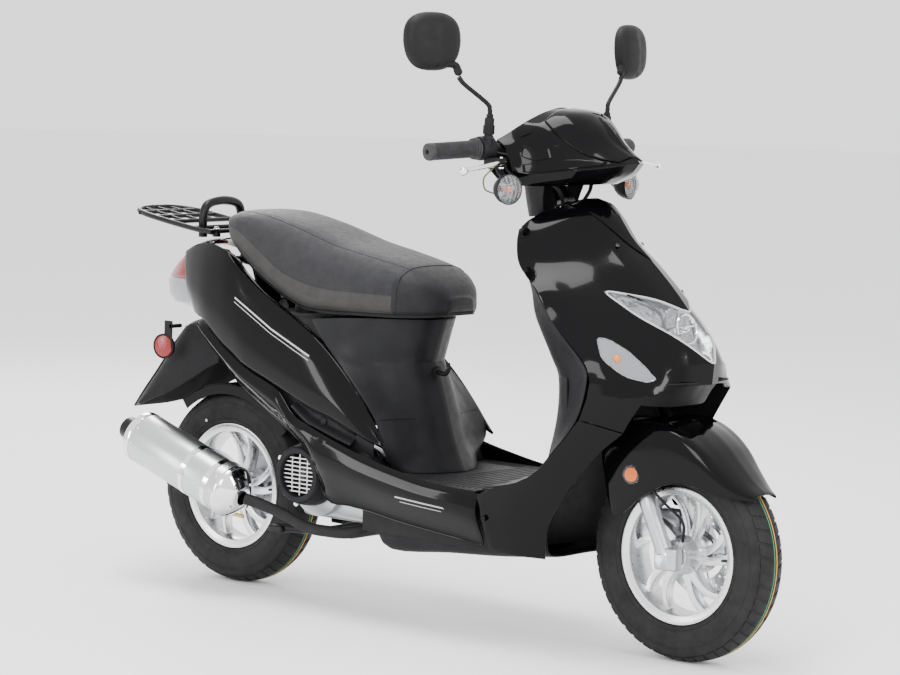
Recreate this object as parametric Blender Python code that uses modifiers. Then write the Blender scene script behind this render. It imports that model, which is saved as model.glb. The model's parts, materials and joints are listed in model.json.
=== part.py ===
"""Moped scooter: a step-through 50 cc class scooter as an assembly of separate pieces.

Units are metres.  Lengths along the machine are written from the front axle, backwards being
negative; the whole machine hangs under one empty that puts the frame's origin on the ground
under the middle of its box.  +X is forward, +Y is the rider's left, +Z is up.
"""
import math

import bmesh
import bpy
from mathutils import Matrix, Vector

# ---------------------------------------------------------------- driving dimensions
FRONT_AXLE_X = 0.6795            # front axle in the object's frame
WHEELBASE = 1.2405
WHEEL_R = 0.216                  # 3.50-10 tyre
TYRE_HALF_WIDTH = 0.046
RIM_FLANGE_R = 0.139
RAKE = math.radians(25.0)
STEER_X_AT_GROUND = 0.075        # where the steering axis meets the ground
FORK_OFFSET = 0.0289             # legs ahead of the steering axis, measured level
LEG_Y = 0.075
SHELL = 0.003                    # wall of the plastic covers
GAP = 0.0004                     # clearance between touching pieces
SEAT_HINGE = (-0.632, 0.0, 0.638)
ENGINE_PIVOT = (-0.770, 0.0, 0.265)
STAND_PIVOT = (-0.835, 0.0, 0.162)
SHOCK_X = -1.205
SHOCK_Y = 0.094
SHOCK_TOP_Z = 0.615
SHOCK_FOOT_Z = 0.325
BAR_END = Vector((-0.4350, -0.3200, 1.0040))
BAR_INNER = Vector((-0.4100, -0.2000, 1.0100))
BAR_R = 0.011
GRIP_R = 0.017
MIRROR_BASE = Vector((-0.392, -0.190, 1.040))
MIRROR_BALL = Vector((-0.414, -0.263, 1.164))
MIRROR_TOE = math.radians(15.0)
LEVER_PIVOT = Vector((-0.372, -0.172, 0.984))
KICK_PIVOT = (-0.965, 0.148, 0.235)
KEY_CENTRE = Vector((-0.3715, -0.060, 0.790))
BUTTON_CENTRE = Vector((-0.4365, -0.182, 1.016))

MIRROR_Y = Vector((1.0, -1.0, 1.0))


def steer_x(z):
    """Steering axis position at height z."""
    return STEER_X_AT_GROUND - z * math.tan(RAKE)


def leg_x(z):
    """Fork leg position at height z."""
    return steer_x(z) + FORK_OFFSET


# ---------------------------------------------------------------- scene and collections
for old in list(bpy.data.objects):
    bpy.data.objects.remove(old)

scooter = bpy.data.collections.new("moped_scooter")
bpy.context.scene.collection.children.link(scooter)
EMPTIES = {}
MATERIALS = {}


def material(name, colour, roughness, metallic=0.0):
    """Principled material with a plain colour."""
    mat = bpy.data.materials.new(name)
    mat.use_nodes = True
    shader = mat.node_tree.nodes["Principled BSDF"]
    shader.inputs["Base Color"].default_value = (*colour, 1.0)
    shader.inputs["Roughness"].default_value = roughness
    shader.inputs["Metallic"].default_value = metallic
    mat.diffuse_color = (*colour, 1.0)
    MATERIALS[name] = mat
    return mat


material("gloss_black", (0.006, 0.006, 0.007), 0.08)
material("satin_plastic", (0.032, 0.032, 0.035), 0.50)
material("clear_lens", (0.80, 0.82, 0.84), 0.08)
material("red_lens", (0.55, 0.02, 0.02), 0.12)
material("black_paint", (0.010, 0.010, 0.011), 0.35)
material("rubber", (0.030, 0.030, 0.033), 0.75)
material("tyre_rubber", (0.022, 0.022, 0.024), 0.85)
material("wheel_alloy", (0.66, 0.67, 0.69), 0.28, 1.0)
material("cast_alloy", (0.52, 0.53, 0.55), 0.45, 1.0)
material("chrome", (0.86, 0.86, 0.88), 0.06, 1.0)
material("brushed_steel", (0.60, 0.61, 0.62), 0.30, 1.0)
material("vinyl", (0.036, 0.036, 0.041), 0.60)
material("fuel_plastic", (0.10, 0.10, 0.10), 0.60)


def body(name, at, parent=None):
    """An empty on a body's joint axis; its pieces are parented to it."""
    empty = bpy.data.objects.new(name, None)
    empty.empty_display_size = 0.05
    scooter.objects.link(empty)
    offset = Vector(at)
    if parent is not None:
        empty.parent = EMPTIES[parent][0]
        offset = offset - EMPTIES[parent][1]
    empty.location = offset
    EMPTIES[name] = (empty, Vector(at))
    return empty


body("scooter_origin", (0.0, 0.0, 0.0))
EMPTIES["scooter_origin"][0].location = (FRONT_AXLE_X, 0.0, 0.0)


# ---------------------------------------------------------------- modelling helpers
def tidy(mesh, weld=1e-5):
    """Weld doubles and turn every face outwards."""
    work = bmesh.new()
    work.from_mesh(mesh)
    bmesh.ops.remove_doubles(work, verts=work.verts, dist=weld)
    bmesh.ops.recalc_face_normals(work, faces=work.faces)
    work.to_mesh(mesh)
    work.free()
    mesh.shade_smooth()
    mesh.set_sharp_from_angle(angle=math.radians(32.0))
    return mesh


def evaluated_mesh(obj, weld=1e-5):
    """The object's mesh with its modifiers applied."""
    bpy.context.view_layer.update()
    depsgraph = bpy.context.evaluated_depsgraph_get()
    mesh = bpy.data.meshes.new_from_object(obj.evaluated_get(depsgraph))
    return tidy(mesh, weld)


def loose(name, data):
    """Link data to the scene as an object without a parent."""
    obj = bpy.data.objects.new(name, data)
    scooter.objects.link(obj)
    return obj


def finish(obj, name, slot, owner):
    """Give a piece its name, material and parent; its geometry stays where it is."""
    obj.name = name
    obj.data.name = name
    obj.data.materials.clear()
    obj.data.materials.append(MATERIALS[slot])
    empty, at = EMPTIES[owner]
    obj.parent = empty
    obj.location = obj.location - at
    return obj


def apply_modifiers(obj, weld=1e-5):
    """Replace the object by its evaluated mesh."""
    mesh = evaluated_mesh(obj, weld)
    place = obj.matrix_world.copy()
    result = loose(obj.name + "_mesh", mesh)
    result.matrix_world = place
    bpy.data.objects.remove(obj)
    return result


def combine(base, others, operation):
    """Join or cut base with the other solids and drop them."""
    for other in others:
        step = base.modifiers.new("combine", "BOOLEAN")
        step.operation = operation
        step.solver = "EXACT"
        step.object = other
        base = apply_modifiers(base)
        bpy.data.objects.remove(other)
    return base


def join(base, *others):
    return combine(base, others, "UNION")


def cut(base, *others):
    return combine(base, others, "DIFFERENCE")


def common(base, *others):
    return combine(base, others, "INTERSECT")


def from_bmesh(name, work):
    mesh = bpy.data.meshes.new(name)
    bmesh.ops.recalc_face_normals(work, faces=work.faces)
    work.to_mesh(mesh)
    work.free()
    mesh.shade_smooth()
    mesh.set_sharp_from_angle(angle=math.radians(32.0))
    return loose(name, mesh)


def rod(start, end, radius, sides=10, radius_end=None):
    """Cylinder or cone between two points."""
    start = Vector(start)
    end = Vector(end)
    axis = end - start
    turn = axis.to_track_quat("Z", "Y").to_matrix().to_4x4()
    place = Matrix.Translation((start + end) / 2) @ turn
    work = bmesh.new()
    bmesh.ops.create_cone(work, cap_ends=True, segments=sides, radius1=radius,
                          radius2=radius if radius_end is None else radius_end,
                          depth=axis.length, matrix=place)
    return from_bmesh("rod", work)


def block(low, high, bevel=0.0, turn=None):
    """Box between two corners, optionally rounded, and turned about its middle."""
    low = Vector(low)
    high = Vector(high)
    size = high - low
    work = bmesh.new()
    bmesh.ops.create_cube(work, size=1.0)
    bmesh.ops.scale(work, vec=size, verts=work.verts)
    if bevel > 0:
        bmesh.ops.bevel(work, geom=work.edges[:], offset=bevel, segments=1, affect="EDGES",
                        profile=0.5)
    if turn is not None:
        bmesh.ops.rotate(work, cent=(0, 0, 0), matrix=turn, verts=work.verts)
    bmesh.ops.translate(work, vec=(low + high) / 2, verts=work.verts)
    return from_bmesh("block", work)


def ball(centre, radius, sides=10):
    work = bmesh.new()
    bmesh.ops.create_uvsphere(work, u_segments=sides, v_segments=sides // 2, radius=radius)
    bmesh.ops.translate(work, vec=Vector(centre), verts=work.verts)
    return from_bmesh("ball", work)


def spline(points, steps, creases=()):
    """Points on a smooth curve through the given ones; a crease breaks the tangent."""
    points = [Vector(p) for p in points]
    last = len(points) - 1
    out = [points[0].copy()]
    for i in range(last):
        start, end = points[i], points[i + 1]
        chord = end - start
        tangent_in = chord if i == 0 or i in creases else (end - points[i - 1]) / 2
        tangent_out = chord if i + 1 == last or i + 1 in creases else (points[i + 2] - start) / 2
        for k in range(1, steps + 1):
            t = k / steps
            t2, t3 = t * t, t * t * t
            out.append(start * (2 * t3 - 3 * t2 + 1) + tangent_in * (t3 - 2 * t2 + t)
                       + end * (3 * t2 - 2 * t3) + tangent_out * (t3 - t2))
    return out


def tube(route, radius, smooth=4, bevel=1, cyclic=False):
    """Round tube along a smooth route, as a closed mesh."""
    points = spline(route, smooth) if smooth > 1 else [Vector(p) for p in route]
    curve = bpy.data.curves.new("tube", "CURVE")
    curve.dimensions = "3D"
    curve.bevel_depth = radius
    curve.bevel_resolution = bevel
    curve.use_fill_caps = True
    line = curve.splines.new("POLY")
    line.points.add(len(points) - 1)
    for target, point in zip(line.points, points):
        target.co = (*point, 1.0)
    line.use_cyclic_u = cyclic
    return apply_modifiers(loose("tube", curve))


def slab(outline, low, high, axes="XZ"):
    """Flat outline extruded along the axis it doesn't name, from low to high."""
    curve = bpy.data.curves.new("slab", "CURVE")
    curve.dimensions = "2D"
    curve.fill_mode = "BOTH"
    curve.extrude = abs(high - low) / 2
    line = curve.splines.new("POLY")
    line.points.add(len(outline) - 1)
    for target, (u, v) in zip(line.points, outline):
        target.co = (u, v, 0.0, 1.0)
    line.use_cyclic_u = True
    flat = loose("slab", curve)
    middle = (low + high) / 2
    if axes == "XZ":
        flat.matrix_world = Matrix.Translation((0, middle, 0)) @ Matrix.Rotation(math.pi / 2, 4, "X")
    elif axes == "YZ":
        turn = Matrix(((0, 0, 1), (1, 0, 0), (0, 1, 0))).to_4x4()
        flat.matrix_world = Matrix.Translation((middle, 0, 0)) @ turn
    else:
        flat.matrix_world = Matrix.Translation((0, 0, middle))
    return apply_modifiers(flat)


def turned(profile, steps, place):
    """Closed profile of (radius, height) turned about local Z, then placed."""
    work = bmesh.new()
    verts = [work.verts.new((r, 0.0, h)) for r, h in profile]
    for a, b in zip(verts, verts[1:] + verts[:1]):
        if not (profile[verts.index(a)][0] == 0.0 and profile[verts.index(b)][0] == 0.0):
            work.edges.new((a, b))
    mesh = bpy.data.meshes.new("turned")
    work.to_mesh(mesh)
    work.free()
    obj = loose("turned", mesh)
    screw = obj.modifiers.new("turn", "SCREW")
    screw.steps = steps
    screw.render_steps = steps
    screw.use_merge_vertices = True
    screw.merge_threshold = 0.0001
    screw.use_smooth_shade = True
    obj.matrix_world = place
    return apply_modifiers(obj)


def about_y(x, y, z):
    """Placement whose local Z is the object's +Y."""
    return Matrix.Translation((x, y, z)) @ Matrix.Rotation(-math.pi / 2, 4, "X")


def about(point, direction):
    """Placement whose local Z runs along a direction."""
    turn = Vector(direction).to_track_quat("Z", "Y").to_matrix().to_4x4()
    return Matrix.Translation(point) @ turn


def surface(rows, across=2, along=1, crease_cols=(), crease_rows=()):
    """Refine rows of points into a smooth grid."""
    wide = [spline(row, across, crease_cols) for row in rows]
    columns = [spline([row[j] for row in wide], along, crease_rows) for j in range(len(wide[0]))]
    return [[column[i] for column in columns] for i in range(len(columns[0]))]


def skin(name, grids, outward, thickness=SHELL, mirror=True):
    """Shell from one or more point grids that share edges, thickened inwards."""
    work = bmesh.new()
    for grid in grids:
        verts = [[work.verts.new(p) for p in row] for row in grid]
        for upper, lower in zip(verts, verts[1:]):
            for j in range(len(upper) - 1):
                work.faces.new((upper[j], upper[j + 1], lower[j + 1], lower[j]))
    bmesh.ops.remove_doubles(work, verts=work.verts, dist=1e-5)
    bmesh.ops.recalc_face_normals(work, faces=work.faces)
    facing = sum((f.normal * f.calc_area() for f in work.faces), Vector())
    if facing.dot(Vector(outward)) < 0:
        bmesh.ops.reverse_faces(work, faces=work.faces)
    mesh = bpy.data.meshes.new(name)
    work.to_mesh(mesh)
    work.free()
    obj = loose(name, mesh)
    if mirror:
        twin = obj.modifiers.new("mirror", "MIRROR")
        twin.use_axis = (False, True, False)
        twin.merge_threshold = 0.0001
    wall = obj.modifiers.new("wall", "SOLIDIFY")
    wall.thickness = thickness
    wall.offset = -1.0
    wall.use_even_offset = True
    return apply_modifiers(obj)


def loft(sections):
    """Closed solid through rings of equal length, with a fan at each end."""
    work = bmesh.new()
    rings = [[work.verts.new(p) for p in ring] for ring in sections]
    count = len(rings[0])
    for near, far in zip(rings, rings[1:]):
        for j in range(count):
            k = (j + 1) % count
            work.faces.new((near[j], near[k], far[k], far[j]))
    for ring in (rings[0], rings[-1]):
        middle = work.verts.new(sum((v.co for v in ring), Vector()) / count)
        for j in range(count):
            work.faces.new((ring[j], ring[(j + 1) % count], middle))
    return from_bmesh("loft", work)


def other_side(points):
    """The same points on the left."""
    return [Vector(p) * MIRROR_Y for p in points]


def twin_of(obj):
    """Mirror image of a finished mesh across the middle plane."""
    mesh = obj.data.copy()
    mesh.transform(Matrix.Diagonal((1.0, -1.0, 1.0, 1.0)) @ obj.matrix_world)
    mesh.flip_normals()
    return loose("twin", tidy(mesh))


# ---------------------------------------------------------------- bodies and their axes
body("chassis", (0.0, 0.0, 0.0), "scooter_origin")
body("steering", (steer_x(0.7), 0.0, 0.7), "chassis")
body("throttle", BAR_INNER, "steering")
body("brake_lever_right_pivot", LEVER_PIVOT, "steering")
body("brake_lever_left_pivot", LEVER_PIVOT * MIRROR_Y, "steering")
body("mirror_right_swivel", MIRROR_BASE, "steering")
body("mirror_left_swivel", MIRROR_BASE * MIRROR_Y, "steering")
body("mirror_right_ball", MIRROR_BALL, "mirror_right_swivel")
body("mirror_left_ball", MIRROR_BALL * MIRROR_Y, "mirror_left_swivel")
body("start_switch", BUTTON_CENTRE, "steering")
body("ignition", KEY_CENTRE, "chassis")
body("fork", (leg_x(WHEEL_R), 0.0, WHEEL_R), "steering")
body("front_wheel", (0.0, 0.0, WHEEL_R), "fork")
body("engine_unit", ENGINE_PIVOT, "chassis")
body("rear_wheel", (-WHEELBASE, 0.0, WHEEL_R), "engine_unit")
body("kick_start", KICK_PIVOT, "engine_unit")
body("shock_upper", (SHOCK_X, SHOCK_Y, SHOCK_TOP_Z), "chassis")
body("shock_lower", (SHOCK_X, SHOCK_Y, SHOCK_FOOT_Z), "shock_upper")
body("seat", SEAT_HINGE, "chassis")
body("stand", STAND_PIVOT, "chassis")


# ---------------------------------------------------------------- outer covers
APRON_ROWS = [
    [(-.262, 0, .912), (-.278, -.035, .908), (-.303, -.072, .893), (-.325, -.100, .880),
     (-.335, -.125, .868), (-.338, -.148, .851)],
    [(-.220, 0, .897), (-.238, -.040, .890), (-.274, -.085, .868), (-.301, -.120, .850),
     (-.320, -.142, .838), (-.338, -.156, .826)],
    [(-.163, 0, .834), (-.184, -.045, .828), (-.229, -.095, .808), (-.264, -.135, .793),
     (-.291, -.158, .786), (-.318, -.170, .780)],
    [(-.107, 0, .790), (-.129, -.050, .783), (-.173, -.100, .762), (-.207, -.145, .748),
     (-.229, -.175, .740), (-.247, -.196, .733)],
    [(-.053, 0, .741), (-.074, -.050, .735), (-.118, -.105, .714), (-.152, -.150, .698),
     (-.179, -.180, .688), (-.207, -.199, .678)],
    [(-.010, 0, .695), (-.029, -.050, .690), (-.073, -.110, .668), (-.108, -.155, .650),
     (-.131, -.182, .642), (-.155, -.200, .633)],
    [(.027, 0, .649), (.008, -.050, .645), (-.032, -.110, .627), (-.067, -.155, .612),
     (-.091, -.182, .605), (-.117, -.200, .597)],
    [(.050, 0, .605), (.032, -.050, .602), (-.003, -.110, .590), (-.040, -.152, .578),
     (-.072, -.182, .572), (-.106, -.200, .566)],
    [(.046, 0, .562), (.030, -.050, .560), (.010, -.100, .553), (-.010, -.140, .542),
     (-.060, -.178, .535), (-.112, -.200, .532)],
]
APRON_SIDE_ROWS = [
    [(-.010, -.140, .542), (-.060, -.178, .535), (-.112, -.200, .532)],
    [(-.045, -.145, .490), (-.085, -.177, .489), (-.130, -.199, .489)],
    [(-.110, -.155, .420), (-.150, -.183, .421), (-.188, -.199, .421)],
    [(-.165, -.160, .358), (-.215, -.187, .360), (-.262, -.199, .356)],
    [(-.207, -.160, .305), (-.290, -.190, .308), (-.384, -.199, .311)],
    [(-.238, -.155, .250), (-.305, -.182, .252), (-.379, -.193, .255)],
    [(-.249, -.145, .188), (-.305, -.165, .190), (-.371, -.175, .195)],
]
LEG_SHIELD_ROWS = [
    [(-.378, 0, .872), (-.375, -.055, .868), (-.362, -.110, .856), (-.346, -.143, .846)],
    [(-.372, 0, .800), (-.368, -.060, .798), (-.348, -.120, .794), (-.320, -.160, .788)],
    [(-.360, 0, .735), (-.352, -.060, .733), (-.322, -.125, .730), (-.256, -.188, .729)],
    [(-.342, 0, .665), (-.332, -.060, .665), (-.312, -.120, .672), (-.200, -.192, .662)],
    [(-.330, 0, .600), (-.318, -.055, .600), (-.262, -.125, .600), (-.130, -.193, .598)],
    [(-.318, 0, .550), (-.301, -.055, .550), (-.231, -.125, .548), (-.121, -.193, .560)],
    [(-.316, 0, .480), (-.300, -.055, .480), (-.236, -.125, .478), (-.144, -.193, .486)],
    [(-.330, 0, .410), (-.314, -.055, .410), (-.256, -.125, .412), (-.200, -.192, .418)],
    [(-.350, 0, .358), (-.334, -.055, .358), (-.290, -.125, .357), (-.268, -.192, .354)],
    [(-.400, 0, .328), (-.392, -.055, .328), (-.384, -.125, .326), (-.386, -.188, .322)],
]
HEADLIGHT_OUTLINE = [(0.0, .700), (-.050, .727), (-.112, .742), (-.092, .690), (-.045, .640),
                     (0.0, .597)]
SIGNAL_OUTLINE = [(-.121, .652), (-.100, .648), (-.060, .627), (-.022, .595), (-.004, .574),
                  (-.014, .568), (-.050, .578), (-.095, .612)]


def grown(outline, amount):
    """Outline moved outwards from its middle by a fixed amount."""
    middle = Vector((sum(p[0] for p in outline), sum(p[1] for p in outline))) / len(outline)
    out = []
    for point in outline:
        away = Vector(point) - middle
        out.append(tuple(Vector(point) + away.normalized() * amount))
    return out


def apron_skin(name, thickness=SHELL):
    upper = surface(APRON_ROWS, 1, 1, crease_cols=(3,))
    side = surface(APRON_SIDE_ROWS, 1, 1)
    return skin(name, [upper, side], (1.0, 0.0, 0.3), thickness)


def headlight_prism(margin):
    half = grown(HEADLIGHT_OUTLINE[1:5], margin)
    half = [(0.0, .700 + margin)] + half + [(0.0, .597 - margin)]
    outline = half + [(-y, z) for y, z in reversed(half[1:-1])]
    return slab(outline, -.17, .12, axes="YZ")


def signal_prism(margin, side):
    outline = grown(SIGNAL_OUTLINE, margin)
    return slab(outline, *sorted((side * .245, side * .108)), axes="XZ")


def front_apron():
    shell = cut(apron_skin("apron"), headlight_prism(.0012), signal_prism(.0022, 1),
                signal_prism(.0022, -1))
    finish(shell, "front_apron", "gloss_black", "chassis")
    lens = common(apron_skin("lens"), headlight_prism(0.0))
    finish(lens, "headlight_lens", "clear_lens", "chassis")
    for side, label in ((-1, "right"), (1, "left")):
        signal = common(apron_skin("signal"), signal_prism(0.0, side))
        finish(signal, "apron_signal_" + label, "clear_lens", "chassis")


def inner_leg_shield():
    shell = skin("shield", [surface(LEG_SHIELD_ROWS, 1, 1)], (-1.0, 0.0, 0.2))
    finish(shell, "inner_leg_shield", "satin_plastic", "chassis")


FLOOR_Z = 0.315
FLOOR_THICK = 0.004
TREAD_RISE = 0.0014                # raised pad a rider stands on


def floorboard():
    outline = [(-.400, .190), (-.440, .194), (-.720, .194), (-.810, .186), (-.850, .170),
               (-.850, -.170), (-.810, -.186), (-.720, -.194), (-.440, -.194), (-.400, -.190)]
    deck = slab(outline, FLOOR_Z - FLOOR_THICK, FLOOR_Z, axes="XY")
    humps = [block((-.745, side * .155 - .030, FLOOR_Z - .002),
                   (-.690, side * .155 + .030, .366), .010) for side in (-1, 1)]
    frame_notch = block((-.900, -.1345, .290), (-.722, .1345, .340))
    deck = cut(deck, frame_notch)
    tread = block((-.542, -.160, FLOOR_Z - .001), (-.446, .160, FLOOR_Z + TREAD_RISE))
    finish(join(deck, *humps, tread), "floorboard", "satin_plastic", "chassis")


SKIRT_STATIONS = [  # x, top y, top z, bottom y, bottom z
    (-.389, .198, .309, .175, .203), (-.444, .202, .3155, .170, .206),
    (-.534, .203, .322, .168, .213), (-.626, .203, .337, .168, .222),
    (-.700, .203, .352, .168, .232), (-.767, .202, .370, .168, .238),
    (-.835, .199, .390, .165, .244), (-.872, .196, .402, .170, .322),
    (-.918, .192, .420, .170, .364), (-.965, .186, .462, .166, .386),
    (-1.010, .180, .480, .160, .406), (-1.060, .174, .496, .155, .432),
    (-1.110, .168, .516, .148, .458), (-1.170, .158, .546, .139, .500),
    (-1.235, .143, .583, .127, .543), (-1.262, .132, .590, .122, .572),
]


def side_skirts():
    rows = []
    for x, top_y, top_z, low_y, low_z in SKIRT_STATIONS:
        rows.append([(x, -top_y, top_z), (x, -top_y - .004, .6 * top_z + .4 * low_z),
                     (x, -low_y, low_z)])
    shell = skin("skirt", [surface(rows, 1, 1)], (0, -1, 0), mirror=False)
    finish(twin_of(shell), "side_skirt_left", "gloss_black", "chassis")
    finish(shell, "side_skirt_right", "gloss_black", "chassis")


BODY_STATIONS = [  # x, top y, top z, bottom y, bottom z, how far the bottom leads the top
    (-.668, .176, .384, .182, .372, 0), (-.705, .175, .432, .188, .385, 0),
    (-.755, .173, .487, .190, .404, 0), (-.810, .170, .537, .189, .424, 0),
    (-.870, .166, .580, .188, .440, 0), (-.940, .160, .616, .184, .464, 0),
    (-1.010, .155, .648, .178, .4875, 0), (-1.080, .150, .684, .171, .510, 0),
    (-1.130, .146, .716, .163, .534, 0), (-1.175, .138, .748, .155, .556, 0),
    (-1.240, .122, .761, .142, .592, .006), (-1.300, .106, .752, .121, .602, .018),
    (-1.342, .092, .737, .104, .612, .034),
]


def rear_body():
    rows = []
    for x, top_y, top_z, low_y, low_z, lead in BODY_STATIONS:
        bulge = .010 * min(1.0, (top_z - low_z) / .12)
        rows.append([(x, -top_y, top_z),
                     (x + .33 * lead, -(2 * top_y + low_y) / 3 - bulge, (2 * top_z + low_z) / 3),
                     (x + .66 * lead, -(top_y + 2 * low_y) / 3 - bulge, (top_z + 2 * low_z) / 3),
                     (x + lead, -low_y, low_z + .0015)])
    shell = skin("panel", [surface(rows, 1, 1)], (0, -1, 0), mirror=False)
    finish(twin_of(shell), "rear_body_left", "gloss_black", "chassis")
    finish(shell, "rear_body_right", "gloss_black", "chassis")


def lower_side_panels():
    rows = []
    for x, top_z, low_z in ((-.750, .397, .371), (-.820, .422, .390), (-.880, .438, .409),
                            (-.922, .455, .438)):
        rows.append([(x, -.176, top_z), (x, -.168, (top_z + low_z) / 2), (x, -.188, low_z)])
    shell = skin("side", [surface(rows, 1, 1)], (0, -1, 0), mirror=False)
    finish(twin_of(shell), "lower_side_panel_left", "satin_plastic", "chassis")
    finish(shell, "lower_side_panel_right", "satin_plastic", "chassis")


def tail_pieces():
    rows = [[(-1.245, 0, .769), (-1.245, -.060, .769), (-1.245, -.106, .7605)],
            [(-1.305, 0, .764), (-1.305, -.055, .762), (-1.305, -.096, .752)],
            [(-1.350, 0, .747), (-1.350, -.045, .745), (-1.350, -.080, .736)]]
    shell = skin("tail", [surface(rows, 2, 2)], (0, 0, 1))
    finish(shell, "tail_cover", "gloss_black", "chassis")
    sections = []
    for x, half, high, low, lead in ((-1.354, .083, .738, .608, .030), (-1.385, .072, .728, .600, .016),
                                     (-1.420, .054, .708, .600, .006), (-1.450, .034, .684, .620, 0),
                                     (-1.474, .014, .664, .645, 0)):
        tall = high - low
        sections.append([(x, -half, low + .62 * tall), (x, -half * .7, low + .95 * tall),
                         (x, 0, high), (x, half * .7, low + .95 * tall),
                         (x, half, low + .62 * tall), (x + lead, half * .98, low + .14 * tall),
                         (x + .4 * lead, 0, low), (x + lead, -half * .98, low + .14 * tall)])
    finish(loft(sections), "tail_lamp", "red_lens", "chassis")
    rows = [[(-1.235, 0, .560), (-1.235, -.050, .558), (-1.240, -.078, .545), (-1.243, -.084, .495)],
            [(-1.310, 0, .572), (-1.300, -.050, .568), (-1.285, -.080, .556), (-1.275, -.085, .480)],
            [(-1.385, 0, .575), (-1.365, -.050, .570), (-1.337, -.081, .558), (-1.305, -.086, .462)],
            [(-1.432, 0, .525), (-1.412, -.050, .520), (-1.380, -.081, .512), (-1.350, -.086, .438)],
            [(-1.478, 0, .468), (-1.455, -.050, .466), (-1.420, -.080, .464), (-1.398, -.085, .415)],
            [(-1.530, 0, .412), (-1.500, -.050, .414), (-1.460, -.080, .418), (-1.445, -.084, .396)],
            [(-1.575, 0, .362), (-1.538, -.050, .368), (-1.497, -.080, .380), (-1.490, -.082, .378)]]
    finish(skin("flap", [surface(rows, 1, 1)], (-.3, 0, 1), .0025), "rear_flap", "satin_plastic",
           "chassis")


def belly_pan():
    rows = [[(x, 0, z), (x, -.080, z), (x, -.118, z + .020), (x, -.128, z + .062)]
            for x, z in ((-.265, .184), (-.400, .168), (-.550, .157), (-.700, .145),
                         (-.734, .185))]
    finish(skin("belly", [rows_to_vectors(rows)], (0, 0, -1)), "belly_pan", "satin_plastic",
           "chassis")


def rows_to_vectors(rows):
    return [[Vector(p) for p in row] for row in rows]


PILLAR_ROWS = [
    [(-.653, 0, .634), (-.667, -.045, .634), (-.705, -.085, .634), (-.765, -.118, .633),
     (-.840, -.138, .629), (-.905, -.150, .622)],
    [(-.664, 0, .600), (-.678, -.045, .600), (-.714, -.082, .600), (-.766, -.115, .597),
     (-.820, -.140, .590), (-.862, -.157, .580)],
    [(-.683, 0, .541), (-.696, -.045, .541), (-.730, -.080, .541), (-.768, -.110, .539),
     (-.792, -.138, .537), (-.808, -.161, .534)],
    [(-.662, 0, .490), (-.675, -.045, .490), (-.704, -.082, .490), (-.730, -.112, .488),
     (-.743, -.140, .486), (-.752, -.165, .484)],
    [(-.640, 0, .425), (-.652, -.045, .425), (-.675, -.085, .425), (-.689, -.118, .426),
     (-.695, -.145, .427), (-.698, -.167, .428)],
    [(-.617, 0, .362), (-.631, -.048, .362), (-.654, -.088, .362), (-.667, -.120, .364),
     (-.673, -.148, .368), (-.676, -.168, .372)],
    [(-.592, 0, .3165), (-.607, -.052, .3165), (-.634, -.094, .3165), (-.655, -.115, .3165),
     (-.668, -.1225, .3165), (-.685, -.1235, .3165)],
]


def seat_pillar():
    shell = skin("pillar", [surface(PILLAR_ROWS, 1, 1)], (1, 0, 0))
    finish(shell, "seat_pillar", "satin_plastic", "chassis")


def bin_and_tank():
    outer = block((-.925, -.088, .400), (-.772, .088, .626), .012)
    inner = block((-.922, -.085, .403), (-.775, .085, .700), .010)
    finish(cut(outer, inner), "storage_bucket", "satin_plastic", "chassis")
    tank = block((-1.150, -.090, .530), (-.932, .090, .618), .014)
    cap = rod((-1.060, 0, .610), (-1.060, 0, .632), .024, 20)
    finish(join(tank, cap), "fuel_tank", "fuel_plastic", "chassis")


# ---------------------------------------------------------------- frame, rack, stand
def main_frame():
    head_low = (steer_x(.600), 0, .600)
    head_high = (steer_x(.795), 0, .795)
    head = rod(head_low, head_high, .025, 14)
    spine = tube([(steer_x(.640) - .010, 0, .640), (-.252, 0, .540), (-.276, 0, .440),
                  (-.316, 0, .330), (-.400, 0, .274), (-.600, 0, .262), (-.735, 0, .262)],
                 .019, 2)
    rails = []
    for side in (-1, 1):
        rails.append(tube([(-.700, side * .070, .262), (-.735, side * .112, .300),
                           (-.800, side * .118, .385), (-.940, side * .118, .500),
                           (-1.100, side * .114, .640), (-1.200, side * .098, .690),
                           (-1.335, side * .075, .712)], .011, 1))
    front_cross = rod((-.700, -.082, .262), (-.700, .082, .262), .012, 10)
    pivot_pin = rod((ENGINE_PIVOT[0], -.100, ENGINE_PIVOT[2]),
                    (ENGINE_PIVOT[0], .100, ENGINE_PIVOT[2]), .009, 12)
    ears = [block((-.786, side * .092 - .006, .248), (-.715, side * .092 + .006, .300), .003)
            for side in (-1, 1)]
    rear_cross = rod((-1.320, -.082, .711), (-1.320, .082, .711), .009, 12)
    hanger = block((SHOCK_X - .012, SHOCK_Y - .014, .6325), (SHOCK_X + .012, SHOCK_Y + .014, .690),
                   .003)
    frame = join(head, spine, rails[0], rails[1], front_cross, pivot_pin, ears[0], ears[1],
                 rear_cross, hanger)
    bore = rod((steer_x(.560), 0, .560), (steer_x(.840), 0, .840), .0172, 12)
    finish(cut(frame, bore), "main_frame", "black_paint", "chassis")


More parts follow.
